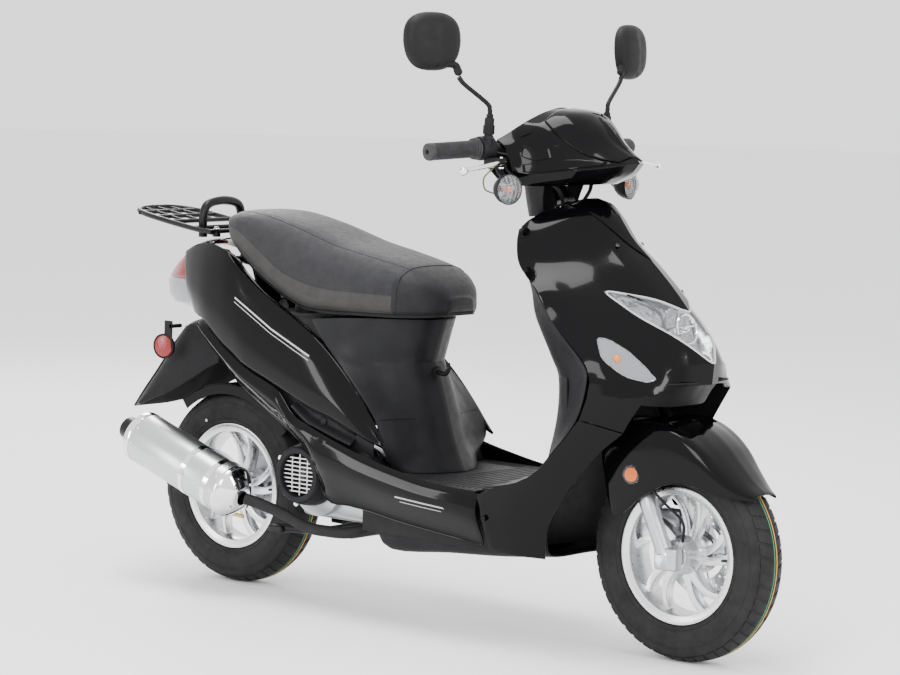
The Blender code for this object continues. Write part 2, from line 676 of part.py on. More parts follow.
def rack_and_handle():
    hoop = tube([(-1.262, -.092, .7815), (-1.330, -.094, .7880), (-1.440, -.094, .8040),
                 (-1.502, -.080, .8130), (-1.530, -.042, .8175), (-1.533, 0, .8180),
                 (-1.530, .042, .8175), (-1.502, .080, .8130), (-1.440, .094, .8040),
                 (-1.330, .094, .7880), (-1.262, .092, .7815)], .006, 1)
    bars = [rod((x, -.0925, z), (x, .0925, z), .005, 6)
            for x, z in ((-1.270, .7823), (-1.322, .7872), (-1.390, .7967), (-1.440, .8040),
                         (-1.490, .8110))]
    wires = [rod((-1.390, y, .7967), (-1.530, y * .8, .8172), .0035, 6) for y in (-.048, 0, .048)]
    feet = [rod((-1.270, side * .070, .7823), (-1.270, side * .070, .7705), .009, 8)
            for side in (-1, 1)]
    handle = tube([(-1.322, -.060, .7665), (-1.322, -.060, .812), (-1.322, -.046, .838),
                   (-1.322, 0, .846), (-1.322, .046, .838), (-1.322, .060, .812),
                   (-1.322, .060, .7665)], .0100, 2)
    finish(join(hoop, *bars, *wires, *feet, handle), "luggage_rack", "black_paint", "chassis")


def centre_stand():
    x, _, z = STAND_PIVOT
    pipe = rod((x, -.085, z), (x, .085, z), .011, 16)
    legs = [rod((x, side * .070, z), (x - .185, side * .100, z - .008), .009, 12)
            for side in (-1, 1)]
    brace = rod((x - .090, -.086, z - .0025), (x - .090, .086, z - .0025), .006, 10)
    feet = [block((x - .215, side * .100 - .016, z - .018), (x - .175, side * .100 + .016, z - .002),
                  .003) for side in (-1, 1)]
    finish(join(pipe, *legs, brace, *feet), "centre_stand", "black_paint", "stand")


# ---------------------------------------------------------------- seat
SEAT_STATIONS = [  # x, half width, top z, bottom z
    (-.617, .046, .686, .652), (-.632, .072, .708, .649), (-.660, .100, .729, .647),
    (-.705, .121, .748, .645), (-.800, .135, .768, .643), (-.890, .138, .785, .641),
    (-.950, .137, .801, .644), (-1.015, .134, .818, .666), (-1.095, .128, .832, .704),
    (-1.150, .120, .836, .740), (-1.195, .104, .834, .770), (-1.234, .070, .822, .797),
]
SEAT_BASE_THICK = .006


def seat_section(x, half, top, low):
    """Ring round the cushion: flat bottom, upright sides, crowned top."""
    height = top - low
    return [(x, -half * .90, low), (x, -half, low + .10 * height), (x, -half * .99, low + .52 * height),
            (x, -half * .86, low + .80 * height), (x, -half * .50, low + .96 * height), (x, 0, top),
            (x, half * .50, low + .96 * height), (x, half * .86, low + .80 * height),
            (x, half * .99, low + .52 * height), (x, half, low + .10 * height),
            (x, half * .90, low), (x, 0, low)]


def seat():
    cushion = loft([seat_section(*station) for station in SEAT_STATIONS])
    finish(cushion, "seat_cushion", "vinyl", "seat")
    sections = []
    for x, half, _, low in SEAT_STATIONS:
        under = low - GAP - SEAT_BASE_THICK
        over = low - GAP
        sections.append([(x, -half * .9, under), (x, -half * .9, over), (x, 0, over),
                         (x, half * .9, over), (x, half * .9, under), (x, 0, under)])
    finish(loft(sections), "seat_base", "satin_plastic", "seat")


# ---------------------------------------------------------------- steering and controls
HEADSET_ROWS = [
    [(-.345, 0, 1.092), (-.352, -.055, 1.087), (-.374, -.100, 1.064), (-.394, -.130, 1.040),
     (-.404, -.150, 1.028)],
    [(-.279, 0, 1.085), (-.292, -.055, 1.078), (-.328, -.100, 1.052), (-.366, -.130, 1.026),
     (-.386, -.151, 1.018)],
    [(-.238, 0, 1.064), (-.254, -.050, 1.052), (-.296, -.100, 1.026), (-.348, -.130, 1.008),
     (-.374, -.152, 1.002)],
    [(-.202, 0, 1.030), (-.222, -.045, 1.018), (-.268, -.100, .998), (-.334, -.130, .984),
     (-.366, -.152, .984)],
    [(-.152, 0, .990), (-.176, -.042, .984), (-.240, -.098, .970), (-.322, -.130, .960),
     (-.362, -.150, .966)],
    [(-.176, 0, .966), (-.198, -.042, .961), (-.258, -.095, .951), (-.336, -.128, .945),
     (-.370, -.149, .950)],
    [(-.222, 0, .944), (-.240, -.042, .942), (-.292, -.090, .938), (-.352, -.130, .936),
     (-.388, -.146, .942)],
]
HEADSET_REAR_ROWS = [
    [(-.354, 0, 1.084), (-.361, -.055, 1.079), (-.382, -.100, 1.057), (-.402, -.130, 1.034),
     (-.412, -.149, 1.022)],
    [(-.420, 0, 1.046), (-.424, -.055, 1.040), (-.432, -.100, 1.024), (-.436, -.130, 1.010),
     (-.432, -.150, 1.002)],
    [(-.446, 0, .985), (-.446, -.055, .983), (-.445, -.100, .980), (-.442, -.130, .978),
     (-.434, -.150, .978)],
    [(-.424, 0, .944), (-.423, -.055, .942), (-.420, -.095, .941), (-.412, -.130, .944),
     (-.404, -.146, .950)],
]


def headset():
    front = skin("cowl", [surface(HEADSET_ROWS, 1, 1)], (1, 0, .3))
    finish(front, "headset_front", "gloss_black", "steering")
    rear = skin("cowl", [surface(HEADSET_REAR_ROWS, 1, 1)], (-1, 0, .3))
    finish(rear, "headset_rear", "satin_plastic", "steering")


def steering_column():
    """Stem, lower yoke and the two fixed fork tubes as one welded and clamped piece."""
    stem = rod((steer_x(.532), 0, .532), (steer_x(.950), 0, .950), .0150, 20)
    yoke = block((-.210, -.096, .5280), (-.121, .096, .5570), .006)
    tubes = [rod((leg_x(.5655), side * LEG_Y, .5655), (leg_x(.300), side * LEG_Y, .300), .0130, 16)
             for side in (-1, 1)]
    clamp = block((steer_x(.955) - .022, -.026, .935), (steer_x(.955) + .022, .026, .9620), .004)
    finish(join(stem, yoke, *tubes, clamp), "steering_column", "black_paint", "steering")
    bar_z = .9620 + GAP + BAR_R
    straight_end = BAR_INNER + (BAR_INNER - BAR_END).normalized() * .042
    half = [BAR_END, straight_end, (-.392, -.115, 1.004), (-.380, -.070, bar_z + .010),
            (-.371, -.030, bar_z)]
    route = [Vector(p) for p in half]
    route = route[:2] + spline(route[1:], 3)[1:]
    route = route + [p * MIRROR_Y for p in reversed(route)]
    finish(tube(route, BAR_R, 1, 2), "handlebar", "black_paint", "steering")


def grip(side, name, owner):
    along = (BAR_END - BAR_INNER).normalized()
    start = BAR_INNER + along * .004
    end = BAR_END + along * .006
    length = (end - start).length
    bore = BAR_R + GAP
    profile = [(bore, 0), (.0225, 0), (.0225, .004), (GRIP_R + .001, .006), (GRIP_R, length * .5),
               (GRIP_R + .001, length - .006), (GRIP_R - .002, length), (.004, length),
               (.004, length - .0045), (bore, length - .0045)]
    flip = MIRROR_Y if side > 0 else Vector((1, 1, 1))
    piece = turned(profile, 14, about(start * flip, along * flip))
    finish(piece, name, "rubber", owner)


def switch_housings():
    along = (BAR_END - BAR_INNER).normalized()
    for side, label in ((-1, "right"), (1, "left")):
        flip = MIRROR_Y if side > 0 else Vector((1, 1, 1))
        base = (BAR_INNER + along * .0005) * flip
        inner = (BAR_INNER - along * .033) * flip
        shell = rod(inner, base, .0245, 24)
        perch = block((-.400, side * .1795 - .012, .976), (-.362, side * .1795 + .012, .992), .003)
        boss = rod((-.392, side * .190, 1.020), (-.392, side * .190, 1.0380), .0085)
        bore = rod((BAR_INNER - along * .050) * flip, (BAR_INNER + along * .020) * flip,
                   BAR_R + GAP, 12)
        clevis = block((-.3845, side * .172 - .024, .9806), (-.3300, side * .172 + .024, .9872))
        cutters = [bore, clevis]
        if side < 0:
            well = rod(BUTTON_CENTRE + Vector((.012, 0, 0)), BUTTON_CENTRE - Vector((.02, 0, 0)),
                       .0068, 16)
            cutters.append(well)
        finish(cut(join(shell, perch, boss), *cutters), "switch_housing_" + label,
               "satin_plastic", "steering")
    button = rod(BUTTON_CENTRE + Vector((.0075, 0, 0)), BUTTON_CENTRE - Vector((.0045, 0, 0)),
                 .0062, 16)
    finish(button, "start_button", "red_lens", "start_switch")


def brake_levers():
    for side, label in ((-1, "right"), (1, "left")):
        route = [(-.372, -.172, .984), (-.352, -.196, .984), (-.340, -.225, .983),
                 (-.338, -.265, .979), (-.345, -.308, .972)]
        if side > 0:
            route = other_side(route)
        blade = tube(route, .0056, 2, 1)
        knob = ball((-.347, side * .316, .970), .0088)
        eye = rod((-.372, side * .172, .9815), (-.372, side * .172, .9865), .0085, 16)
        lever = join(blade, knob, eye)
        finish(trim_lever(lever, side), "brake_lever_" + label, "chrome",
               "brake_lever_" + label + "_pivot")


def trim_lever(lever, side):
    """Flatten the blade where it runs inside the perch."""
    above = block((-.384, side * .172 - .020, .9868), (-.334, side * .172 + .020, .9990))
    below = block((-.384, side * .172 - .020, .9700), (-.334, side * .172 + .020, .9812))
    return cut(lever, above, below)


def indicators():
    for side, label in ((-1, "right"), (1, "left")):
        out = Vector((math.cos(.25), side * math.sin(.25), 0))
        profile = [(0, -.030), (.016, -.028), (.027, -.014), (.031, 0), (.031, .004),
                   (.024, .014), (.010, .020), (0, .021)]
        bowl = turned(profile, 14, about((-.331, side * .196, .9320), out))
        arm = rod((-.348, side * .190, .9360), (-.372, side * .176, .9500), .0065, 10)
        finish(join(bowl, arm), "indicator_" + label, "clear_lens", "steering")


def mirrors():
    for side, label in ((-1, "right"), (1, "left")):
        flip = MIRROR_Y if side > 0 else Vector((1, 1, 1))
        base = MIRROR_BASE * flip
        tip = MIRROR_BALL * flip
        boot = rod(base, base + Vector((.002, 0, .034)), .0105, 16, .0095)
        stalk = tube([base + Vector((.002, 0, .030)), base + Vector((.003, side * .004, .050)),
                      base + Vector((-.004, side * .030, .085)),
                      tip + Vector((.006, -side * .010, -.020)),
                      tip + Vector((.002, 0, -.0112))], .0048, 2)
        finish(join(boot, stalk), "mirror_stem_" + label, "black_paint",
               "mirror_" + label + "_swivel")
        socket = ball(tip, .0085)
        facing = Vector((-math.cos(MIRROR_TOE), -side * math.sin(MIRROR_TOE), -.06)).normalized()
        centre = tip + Vector((-.020, -.0545, .060) if side < 0 else (-.016, .0545, .041))
        sections = []
        for depth, half_w, half_h in ((.012, .0630, .0555), (.006, .0660, .0585),
                                      (-.008, .0600, .0525), (-.021, .0340, .0300)):
            sections.append(rounded_ring(centre, facing, depth, half_w, half_h))
        head = loft(sections)
        neck = rod(tip, centre + Vector((0, -side * .030, -.045)), .0065, 10)
        finish(join(head, neck, socket), "mirror_head_" + label, "black_paint",
               "mirror_" + label + "_ball")


def rounded_ring(centre, facing, depth, half_w, half_h, count=14):
    """Superellipse ring across a facing direction."""
    sideways = Vector((0, 0, 1)).cross(facing).normalized()
    upward = facing.cross(sideways)
    ring = []
    for k in range(count):
        angle = 2 * math.pi * k / count
        c, s = math.cos(angle), math.sin(angle)
        u = math.copysign(abs(c) ** .72, c) * half_w
        v = math.copysign(abs(s) ** .72, s) * half_h
        ring.append(centre + sideways * u + upward * v + facing * depth)
    return ring


def front_fender():
    rows = []
    for x, z, half, low_x, low_z in (
            (-.150, .464, .098, -.146, .398), (-.085, .486, .099, -.112, .292),
            (-.020, .490, .098, -.040, .338), (.036, .476, .091, .024, .369),
            (.083, .448, .082, .074, .366), (.122, .411, .070, .114, .354),
            (.157, .378, .054, .152, .348), (.186, .358, .034, .184, .346)):
        drop = min(.022, .5 * (z - low_z))
        rows.append([(x, 0, z), (x, -half * .6, z - .3 * drop), (x, -half, z - drop),
                     (low_x, -half - .003, low_z)])
    shell = skin("fender", [surface(rows, 1, 1)], (.2, 0, 1))
    bridge = block((-.148, -.030, .4590), (-.125, .030, .4800))
    leg_holes = [rod((leg_x(.28), side * LEG_Y, .28), (leg_x(.60), side * LEG_Y, .60), .0195, 16)
                 for side in (-1, 1)]
    finish(cut(join(shell, bridge), *leg_holes), "front_fender", "gloss_black", "fork")


# ---------------------------------------------------------------- fork and wheels
def fork_sliders():
    for side, label in ((-1, "right"), (1, "left")):
        low, high = .200, .335
        leg = rod((leg_x(low), side * LEG_Y, low), (leg_x(high), side * LEG_Y, high), .0185, 16)
        foot = block((-.020, side * LEG_Y - .0135, .192), (.034, side * LEG_Y + .0135, .238), .005)
        bore = rod((leg_x(.245), side * LEG_Y, .245), (leg_x(.400), side * LEG_Y, .400),
                   .0134, 16)
        slider = cut(join(leg, foot), bore)
        if side < 0:
            axle = rod((0, .0550, WHEEL_R), (0, -.0950, WHEEL_R), .0060, 16)
            nut = rod((0, -.0860, WHEEL_R), (0, -.0960, WHEEL_R), .0120, 6)
            drive = rod((0, -.0520, WHEEL_R), (0, -.0640, WHEEL_R), .0260, 20)
            slider = join(slider, axle, nut, drive)
        else:
            nut = rod((0, .0860, WHEEL_R), (0, .0960, WHEEL_R), .0120, 6)
            slider = join(slider, nut)
        finish(slider, "fork_slider_" + label, "cast_alloy", "fork")
    caliper = block((-.112, .0400, .236), (-.056, .0745, .292), .005)
    lug = block((-.070, .0560, .256), (-.026, .0745, .284), .002)
    slot = rod((0, .0455, WHEEL_R), (0, .0525, WHEEL_R), .0965, 28)
    keep_off = rod((leg_x(.200), LEG_Y, .200), (leg_x(.345), LEG_Y, .345), .0189, 20)
    caliper = cut(join(caliper, lug), slot, keep_off)
    finish(caliper, "brake_caliper", "cast_alloy", "fork")


def wheel_rim(prefix, x, owner):
    """Cast wheel: channel rim, hub and five curved spokes in one casting."""
    place = about_y(x, 0, WHEEL_R)
    channel = [(.1265, -.0335), (.1265, .0335), (RIM_FLANGE_R, .0338), (RIM_FLANGE_R, .0375),
               (.1210, .0330), (.1210, -.0330), (RIM_FLANGE_R, -.0375), (RIM_FLANGE_R, -.0338)]
    rim = turned(channel, 24, place)
    hub = turned([(.0080, -.0500), (.0300, -.0500), (.0340, -.0440), (.0340, .0450),
                  (.0080, .0450)], 16, place)
    spokes = []
    for k in range(5):
        outline_left = []
        outline_right = []
        for step in range(4):
            t = step / 3
            radius = .028 + t * .096
            angle = 2 * math.pi * k / 5 + .55 * t * t
            half = (.017 - .006 * math.sin(math.pi * t)) / radius
            for side, outline in ((-1, outline_left), (1, outline_right)):
                a = angle + side * half
                outline.append((x + radius * math.cos(a), WHEEL_R + radius * math.sin(a)))
        spokes.append(slab(outline_left + outline_right[::-1], -.010, .012, axes="XZ"))
    casting = join(rim, *spokes, hub)
    finish(casting, prefix + "_rim", "wheel_alloy", owner)


def tyre(prefix, x, owner):
    half = [(.1300, .0325), (.1410, .0328), (.1430, .0400), (.1680, TYRE_HALF_WIDTH),
            (.1960, .0410), (.2120, .0210)]
    profile = half + [(WHEEL_R, 0)] + [(r, -y) for r, y in reversed(half)]
    finish(turned(profile, 32, about_y(x, 0, WHEEL_R)), prefix + "_tyre", "tyre_rubber", owner)


def wheels():
    wheel_rim("front", 0.0, "front_wheel")
    tyre("front", 0.0, "front_wheel")
    disc = turned([(.0300, .0475), (.0920, .0475), (.0920, .0515), (.0300, .0515)], 28,
                  about_y(0, 0, WHEEL_R))
    finish(disc, "brake_disc", "brushed_steel", "front_wheel")
    wheel_rim("rear", -WHEELBASE, "rear_wheel")
    tyre("rear", -WHEELBASE, "rear_wheel")


# ---------------------------------------------------------------- engine unit
def arc(cx, cz, radius, start, end, count):
    """Points on an arc in the XZ plane, angles in degrees."""
    out = []
    for k in range(count + 1):
        a = math.radians(start + (end - start) * k / count)
        out.append((cx + radius * math.cos(a), cz + radius * math.sin(a)))
    return out


def engine():
    case = rod((-.930, -.095, .262), (-.930, .060, .262), .072, 20)
    sump = block((-.985, -.080, .186), (-.800, .050, .250), .010)
    barrel = block((-.905, -.060, .215), (-.792, .045, .288), .010)
    neck = block((-.800, -.028, .250), (-.775, .028, .280))
    lug = rod((ENGINE_PIVOT[0], -.030, ENGINE_PIVOT[2]), (ENGINE_PIVOT[0], .030, ENGINE_PIVOT[2]),
              .020, 20)
    outline = arc(-.930, .262, .083, -60, 105, 5) + arc(-WHEELBASE, WHEEL_R, .075, 105, 290, 6)
    drive_case = slab(outline, .0620, .1260, axes="XZ")
    bridge = block((-.990, .045, .215), (-.880, .070, .310), .004)
    final_drive = rod((-WHEELBASE, .0575, WHEEL_R), (-WHEELBASE, .0640, WHEEL_R), .060, 16)
    axle = rod((-WHEELBASE, -.0720, WHEEL_R), (-WHEELBASE, .0640, WHEEL_R), .0065, 16)
    nut = rod((-WHEELBASE, -.0540, WHEEL_R), (-WHEELBASE, -.0680, WHEEL_R), .0130, 6)
    shock_ear = block((SHOCK_X - .018, SHOCK_Y - .014, .268),
                      (SHOCK_X + .018, SHOCK_Y + .014, .3120), .003)
    unit = join(case, sump, barrel, neck, lug, drive_case, bridge, final_drive, axle, nut, shock_ear)
    pin_bore = rod((ENGINE_PIVOT[0], -.060, ENGINE_PIVOT[2]), (ENGINE_PIVOT[0], .060, ENGINE_PIVOT[2]),
                   .0095, 16)
    kick_bore = rod((KICK_PIVOT[0], .110, KICK_PIVOT[2]), (KICK_PIVOT[0], .140, KICK_PIVOT[2]),
                    .0084, 16)
    finish(cut(unit, pin_bore, kick_bore), "engine_case", "cast_alloy", "engine_unit")
    shroud = turned([(.046, .0), (.068, .0), (.070, .010), (.062, .052), (.050, .056),
                     (.046, .050), (.046, .030), (0, .030), (0, .020), (.046, .018)], 18,
                    Matrix.Translation((-.937, -.0958, .283))
                    @ Matrix.Rotation(math.pi / 2, 4, "X"))
    finish(shroud, "fan_shroud", "satin_plastic", "engine_unit")
    pipe = tube([(-.7890, -.045, .236), (-.772, -.050, .229), (-.766, -.080, .197),
                 (-.797, -.124, .174), (-.860, -.140, .171), (-.915, -.140, .174), (-.985, -.142, .194),
                 (-1.040, -.152, .209), (-1.072, -.166, .2180)], .0125, 2)
    flange = rod((-.7914, -.045, .236), (-.7860, -.045, .236), .018, 12)
    finish(join(pipe, flange), "exhaust_pipe", "black_paint", "engine_unit")
    front = Vector((-1.075, -.170, .2190))
    direction = (Vector((-1.392, -.170, .3230)) - front).normalized()
    length = .334
    profile = [(0, 0), (.020, 0), (.030, .006), (.0560, .030), (.0575, .036), (.0575, length - .006),
               (.0545, length), (.026, length + .004), (.0255, length + .046), (.021, length + .046),
               (.021, length - .020), (0, length - .020)]
    can = turned(profile, 22, about(front, direction))
    notch = tube([(-1.040, -.152, .209), (-1.072, -.166, .2180), (-1.085, -.170, .222)], .0150, 1)
    hanger = block((-1.222, -.1300, .2300), (-1.190, -.0690, .2440), .003)
    finish(cut(join(can, hanger), notch), "muffler", "brushed_steel", "engine_unit")
    hugger_top = arc(-WHEELBASE, WHEEL_R, .2290, 128, 38, 7)
    hugger_low = arc(-WHEELBASE, WHEEL_R, .2260, 38, 128, 7)
    crown = slab(hugger_top + hugger_low, -.054, .054, axes="XZ")
    cheek_top = arc(-WHEELBASE, WHEEL_R, .2280, 128, 38, 7)
    cheek_low = arc(-WHEELBASE, WHEEL_R, .2060, 38, 128, 7)
    cheeks = [slab(cheek_top + cheek_low, *sorted((side * .0510, side * .0540)), axes="XZ")
              for side in (-1, 1)]
    finish(join(crown, *cheeks), "rear_hugger", "gloss_black", "engine_unit")


def kick_start():
    x, y, z = KICK_PIVOT
    shaft = rod((x, y - .034, z), (x, y + .006, z), .0080, 16)
    arm = tube([(x, y, z), (x - .070, y + .010, z - .012), (x - .150, y + .014, z - .020)],
               .0070, 2)
    pedal = rod((x - .150, y + .008, z - .020), (x - .150, y + .062, z - .020), .0085, 16)
    finish(join(shaft, arm, pedal), "kick_lever", "cast_alloy", "kick_start")


def shock_absorber():
    at = Matrix.Translation((SHOCK_X, SHOCK_Y, 0))
    body_profile = [(.0085, .445), (.0170, .445), (.0170, .560), (.0260, .564), (.0260, .572),
                    (.0120, .580), (.0120, .600), (0, .600), (0, .590), (.0085, .590)]
    top_eye = rod((SHOCK_X, SHOCK_Y - .012, SHOCK_TOP_Z), (SHOCK_X, SHOCK_Y + .012, SHOCK_TOP_Z),
                  .0165)
    finish(join(turned(body_profile, 12, at), top_eye), "shock_tube", "black_paint",
           "shock_upper")
    rod_profile = [(0, .525), (.0075, .525), (.0075, .370), (.0260, .366), (.0260, .358),
                   (.0120, .350), (.0120, .335), (0, .335)]
    low_eye = rod((SHOCK_X, SHOCK_Y - .012, SHOCK_FOOT_Z + .0035),
                  (SHOCK_X, SHOCK_Y + .012, SHOCK_FOOT_Z + .0035), .0155)
    finish(join(turned(rod_profile, 12, at), low_eye), "shock_rod", "chrome", "shock_lower")
    turns, per_turn = 5, 8
    low, high = .3705, .5540
    wire = .0035
    coil = []
    for k in range(turns * per_turn + 1):
        t = k / (turns * per_turn)
        angle = 2 * math.pi * turns * t
        coil.append((SHOCK_X + .0220 * math.cos(angle), SHOCK_Y + .0220 * math.sin(angle),
                     low + (high - low) * t))
    finish(tube(coil, wire, 1, 1), "shock_spring", "chrome", "shock_lower")


def ignition_key():
    head = block(KEY_CENTRE + Vector((-.034, -.0022, -.012)), KEY_CENTRE + Vector((-.012, .0022, .012)),
                 .0015)
    blade = rod(KEY_CENTRE + Vector((-.016, 0, 0)), KEY_CENTRE + Vector((-.0005, 0, 0)), .0040, 12)
    finish(join(head, blade), "ignition_key", "chrome", "ignition")


# ---------------------------------------------------------------- the whole machine
front_apron()
inner_leg_shield()
floorboard()
side_skirts()
rear_body()
lower_side_panels()
tail_pieces()
belly_pan()
seat_pillar()
bin_and_tank()
main_frame()
rack_and_handle()
centre_stand()
seat()
headset()
steering_column()
grip(-1, "throttle_grip", "throttle")
grip(1, "left_grip", "steering")
switch_housings()
brake_levers()
indicators()
mirrors()
front_fender()
fork_sliders()
wheels()
engine()
kick_start()
shock_absorber()
ignition_key()
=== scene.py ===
"""Looks for the moped scooter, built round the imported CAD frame.

Every measurement is in metres. Points are written from the front axle (X = 0 there, +X forward,
+Y to the rider's left, +Z up from the ground) and are shifted to the CAD origin as meshes are made.
"""
import json
import math

import bmesh
import bpy
from mathutils import Matrix, Vector


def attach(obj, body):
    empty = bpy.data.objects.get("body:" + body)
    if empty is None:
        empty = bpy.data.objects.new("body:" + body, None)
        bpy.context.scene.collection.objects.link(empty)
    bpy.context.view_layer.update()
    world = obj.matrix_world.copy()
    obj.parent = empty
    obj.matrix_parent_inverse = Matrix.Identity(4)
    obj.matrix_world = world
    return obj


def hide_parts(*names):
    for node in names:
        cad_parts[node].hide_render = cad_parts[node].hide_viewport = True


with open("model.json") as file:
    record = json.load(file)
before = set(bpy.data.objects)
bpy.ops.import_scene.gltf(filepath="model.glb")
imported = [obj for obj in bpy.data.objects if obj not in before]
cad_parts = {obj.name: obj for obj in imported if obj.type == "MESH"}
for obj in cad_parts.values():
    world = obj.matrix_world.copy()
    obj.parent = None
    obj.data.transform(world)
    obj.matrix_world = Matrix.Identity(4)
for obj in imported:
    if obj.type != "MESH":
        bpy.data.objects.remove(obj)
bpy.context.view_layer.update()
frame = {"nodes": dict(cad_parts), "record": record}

FRONT_AXLE_X = 0.6795
WHEELBASE = 1.2405
WHEEL_R = 0.216
RIM_FLANGE_R = 0.139
RAKE = math.radians(25.0)
STEER_X_AT_GROUND = 0.075
FORK_OFFSET = 0.0289
LEG_Y = 0.075
FLOOR_Z = 0.315
BAR_END = Vector((-0.4350, -0.3200, 1.0040))
BAR_INNER = Vector((-0.4100, -0.2000, 1.0100))
MIRROR_BASE = Vector((-0.392, -0.190, 1.040))
MIRROR_BALL = Vector((-0.414, -0.263, 1.164))
MIRROR_TOE = math.radians(15.0)
SHOCK = Vector((-1.205, 0.094, 0.0))
SHOCK_TOP_Z = 0.615
SHOCK_FOOT_Z = 0.325
ENGINE_PIVOT = Vector((-0.770, 0.0, 0.265))
STAND_PIVOT = Vector((-0.835, 0.0, 0.162))
KICK_PIVOT = Vector((-0.965, 0.148, 0.235))
RIGHT = Vector((1.0, 1.0, 1.0))
LEFT = Vector((1.0, -1.0, 1.0))
TO_FRAME = Matrix.Translation((FRONT_AXLE_X, 0.0, 0.0))
SIDES = ((-1, "right", RIGHT), (1, "left", LEFT))


def steer_x(z):
    """X of the steering axis at height z."""
    return STEER_X_AT_GROUND - z * math.tan(RAKE)


def leg_x(z):
    """X of a fork leg's centre line at height z."""
    return steer_x(z) + FORK_OFFSET


# ---------------------------------------------------------------- materials
def new_material(name, colour, roughness, metallic=0.0, alpha=1.0):
    """Plain principled material."""
    mat = bpy.data.materials.new(name)
    mat.use_nodes = True
    shader = mat.node_tree.nodes["Principled BSDF"]
    shader.inputs["Base Color"].default_value = (*colour, 1.0)
    shader.inputs["Roughness"].default_value = roughness
    shader.inputs["Metallic"].default_value = metallic
    shader.inputs["Alpha"].default_value = alpha
    return mat


def shader_of(mat):
    """The material's principled shader."""
    return mat.node_tree.nodes["Principled BSDF"]


def node(mat, kind, **values):
    """New shader node with its inputs or settings filled in."""
    made = mat.node_tree.nodes.new(kind)
    for key, value in values.items():
        if key in made.inputs:
            made.inputs[key].default_value = value
        else:
            setattr(made, key, value)
    return made


def link(mat, source, target):
    """Join two sockets."""
    mat.node_tree.links.new(source, target)


def coordinates(mat, scale=(1.0, 1.0, 1.0)):
    """The object's own coordinates, in metres, stretched by a scale."""
    place = node(mat, "ShaderNodeTexCoord")
    stretch = node(mat, "ShaderNodeMapping")
    stretch.inputs["Scale"].default_value = scale
    link(mat, place.outputs["Object"], stretch.inputs["Vector"])
    return stretch.outputs["Vector"]


def ramp(mat, source, stops):
    """Colour ramp from (position, colour or grey) stops."""
    made = node(mat, "ShaderNodeValToRGB")
    while len(made.color_ramp.elements) < len(stops):
        made.color_ramp.elements.new(0.5)
    for element, (position, value) in zip(made.color_ramp.elements, stops):
        element.position = position
        element.color = (*value, 1.0) if isinstance(value, tuple) else (value, value, value, 1.0)
    link(mat, source, made.inputs["Fac"])
    return made.outputs["Color"]


def noise(mat, scale, detail=3.0, stretch=(1.0, 1.0, 1.0), rough=0.5):
    """Noise over the object's own coordinates."""
    made = node(mat, "ShaderNodeTexNoise", Scale=scale, Detail=detail, Roughness=rough)
    link(mat, coordinates(mat, stretch), made.inputs["Vector"])
    return made.outputs["Fac"]


def cells(mat, scale, stretch=(1.0, 1.0, 1.0)):
    """Cell distances over the object's own coordinates."""
    made = node(mat, "ShaderNodeTexVoronoi", Scale=scale)
    link(mat, coordinates(mat, stretch), made.inputs["Vector"])
    return made.outputs["Distance"]


def bumped(mat, height, distance, strength=1.0, after=None):
    """Bump from a height, after any earlier bump."""
    made = node(mat, "ShaderNodeBump", Strength=strength, Distance=distance)
    link(mat, height, made.inputs["Height"])
    if after is not None:
        link(mat, after, made.inputs["Normal"])
    link(mat, made.outputs["Normal"], shader_of(mat).inputs["Normal"])
    return made.outputs["Normal"]


def vary_roughness(mat, source, low, high):
    """Roughness that follows a texture."""
    link(mat, ramp(mat, source, ((0.25, low), (0.75, high))), shader_of(mat).inputs["Roughness"])


def vary_colour(mat, source, first, second, low=0.3, high=0.7):
    """Colour that follows a texture."""
    link(mat, ramp(mat, source, ((low, first), (high, second))),
         shader_of(mat).inputs["Base Color"])


def gloss_black():
    """Deep black moulding under a thin clear coat."""
    mat = new_material("gloss_black", (.0016, .0016, .0020), .08)
    shader = shader_of(mat)
    shader.inputs["Specular IOR Level"].default_value = .07
    shader.inputs["Coat Weight"].default_value = .14
    shader.inputs["Coat Roughness"].default_value = .025
    vary_roughness(mat, noise(mat, 38.0, 4.0), .08, .14)
    bumped(mat, noise(mat, 330.0, 2.0), .00002, .35)
    return mat


def satin_black(name, colour, grain=900.0, rough=(.42, .58), depth=.00010):
    """Moulded plastic with a fine leather-like grain."""
    mat = new_material(name, colour, .5)
    shader_of(mat).inputs["Specular IOR Level"].default_value = .13
    brighter = tuple(min(1.0, c * 1.35) for c in colour)
    vary_colour(mat, noise(mat, 26.0, 5.0), colour, brighter)
    vary_roughness(mat, noise(mat, 60.0, 3.0), *rough)
    bumped(mat, cells(mat, grain), depth, .8)
    return mat


def powder_coat(name, colour, roughness):
    """Even paint with a slight orange peel."""
    mat = new_material(name, colour, roughness)
    shader_of(mat).inputs["Specular IOR Level"].default_value = .22
    vary_roughness(mat, noise(mat, 45.0, 4.0), roughness - .05, roughness + .10)
    bumped(mat, noise(mat, 700.0, 3.0), .00006, .5)
    return mat


def metal(name, colour, rough, streak=(1.0, 1.0, 1.0), scale=120.0, depth=.00002, darker=.86):
    """Metal with fine streaks or casting grain."""
    mat = new_material(name, colour, rough[0], 1.0)
    source = noise(mat, scale, 5.0, streak, .6)
    vary_roughness(mat, source, *rough)
    vary_colour(mat, source, tuple(c * darker for c in colour), colour)
    bumped(mat, source, depth, .6)
    return mat


def clear_plastic(name, colour, alpha, rough=.06):
    """Clear lens that lets what is behind it show."""
    mat = new_material(name, colour, rough, 0.0, alpha)
    shader = shader_of(mat)
    shader.inputs["IOR"].default_value = 1.49
    shader.inputs["Coat Weight"].default_value = .8
    shader.inputs["Coat Roughness"].default_value = .03
    vary_roughness(mat, noise(mat, 40.0), rough * .8, rough * 1.4)
    mat.surface_render_method = "BLENDED"
    return mat


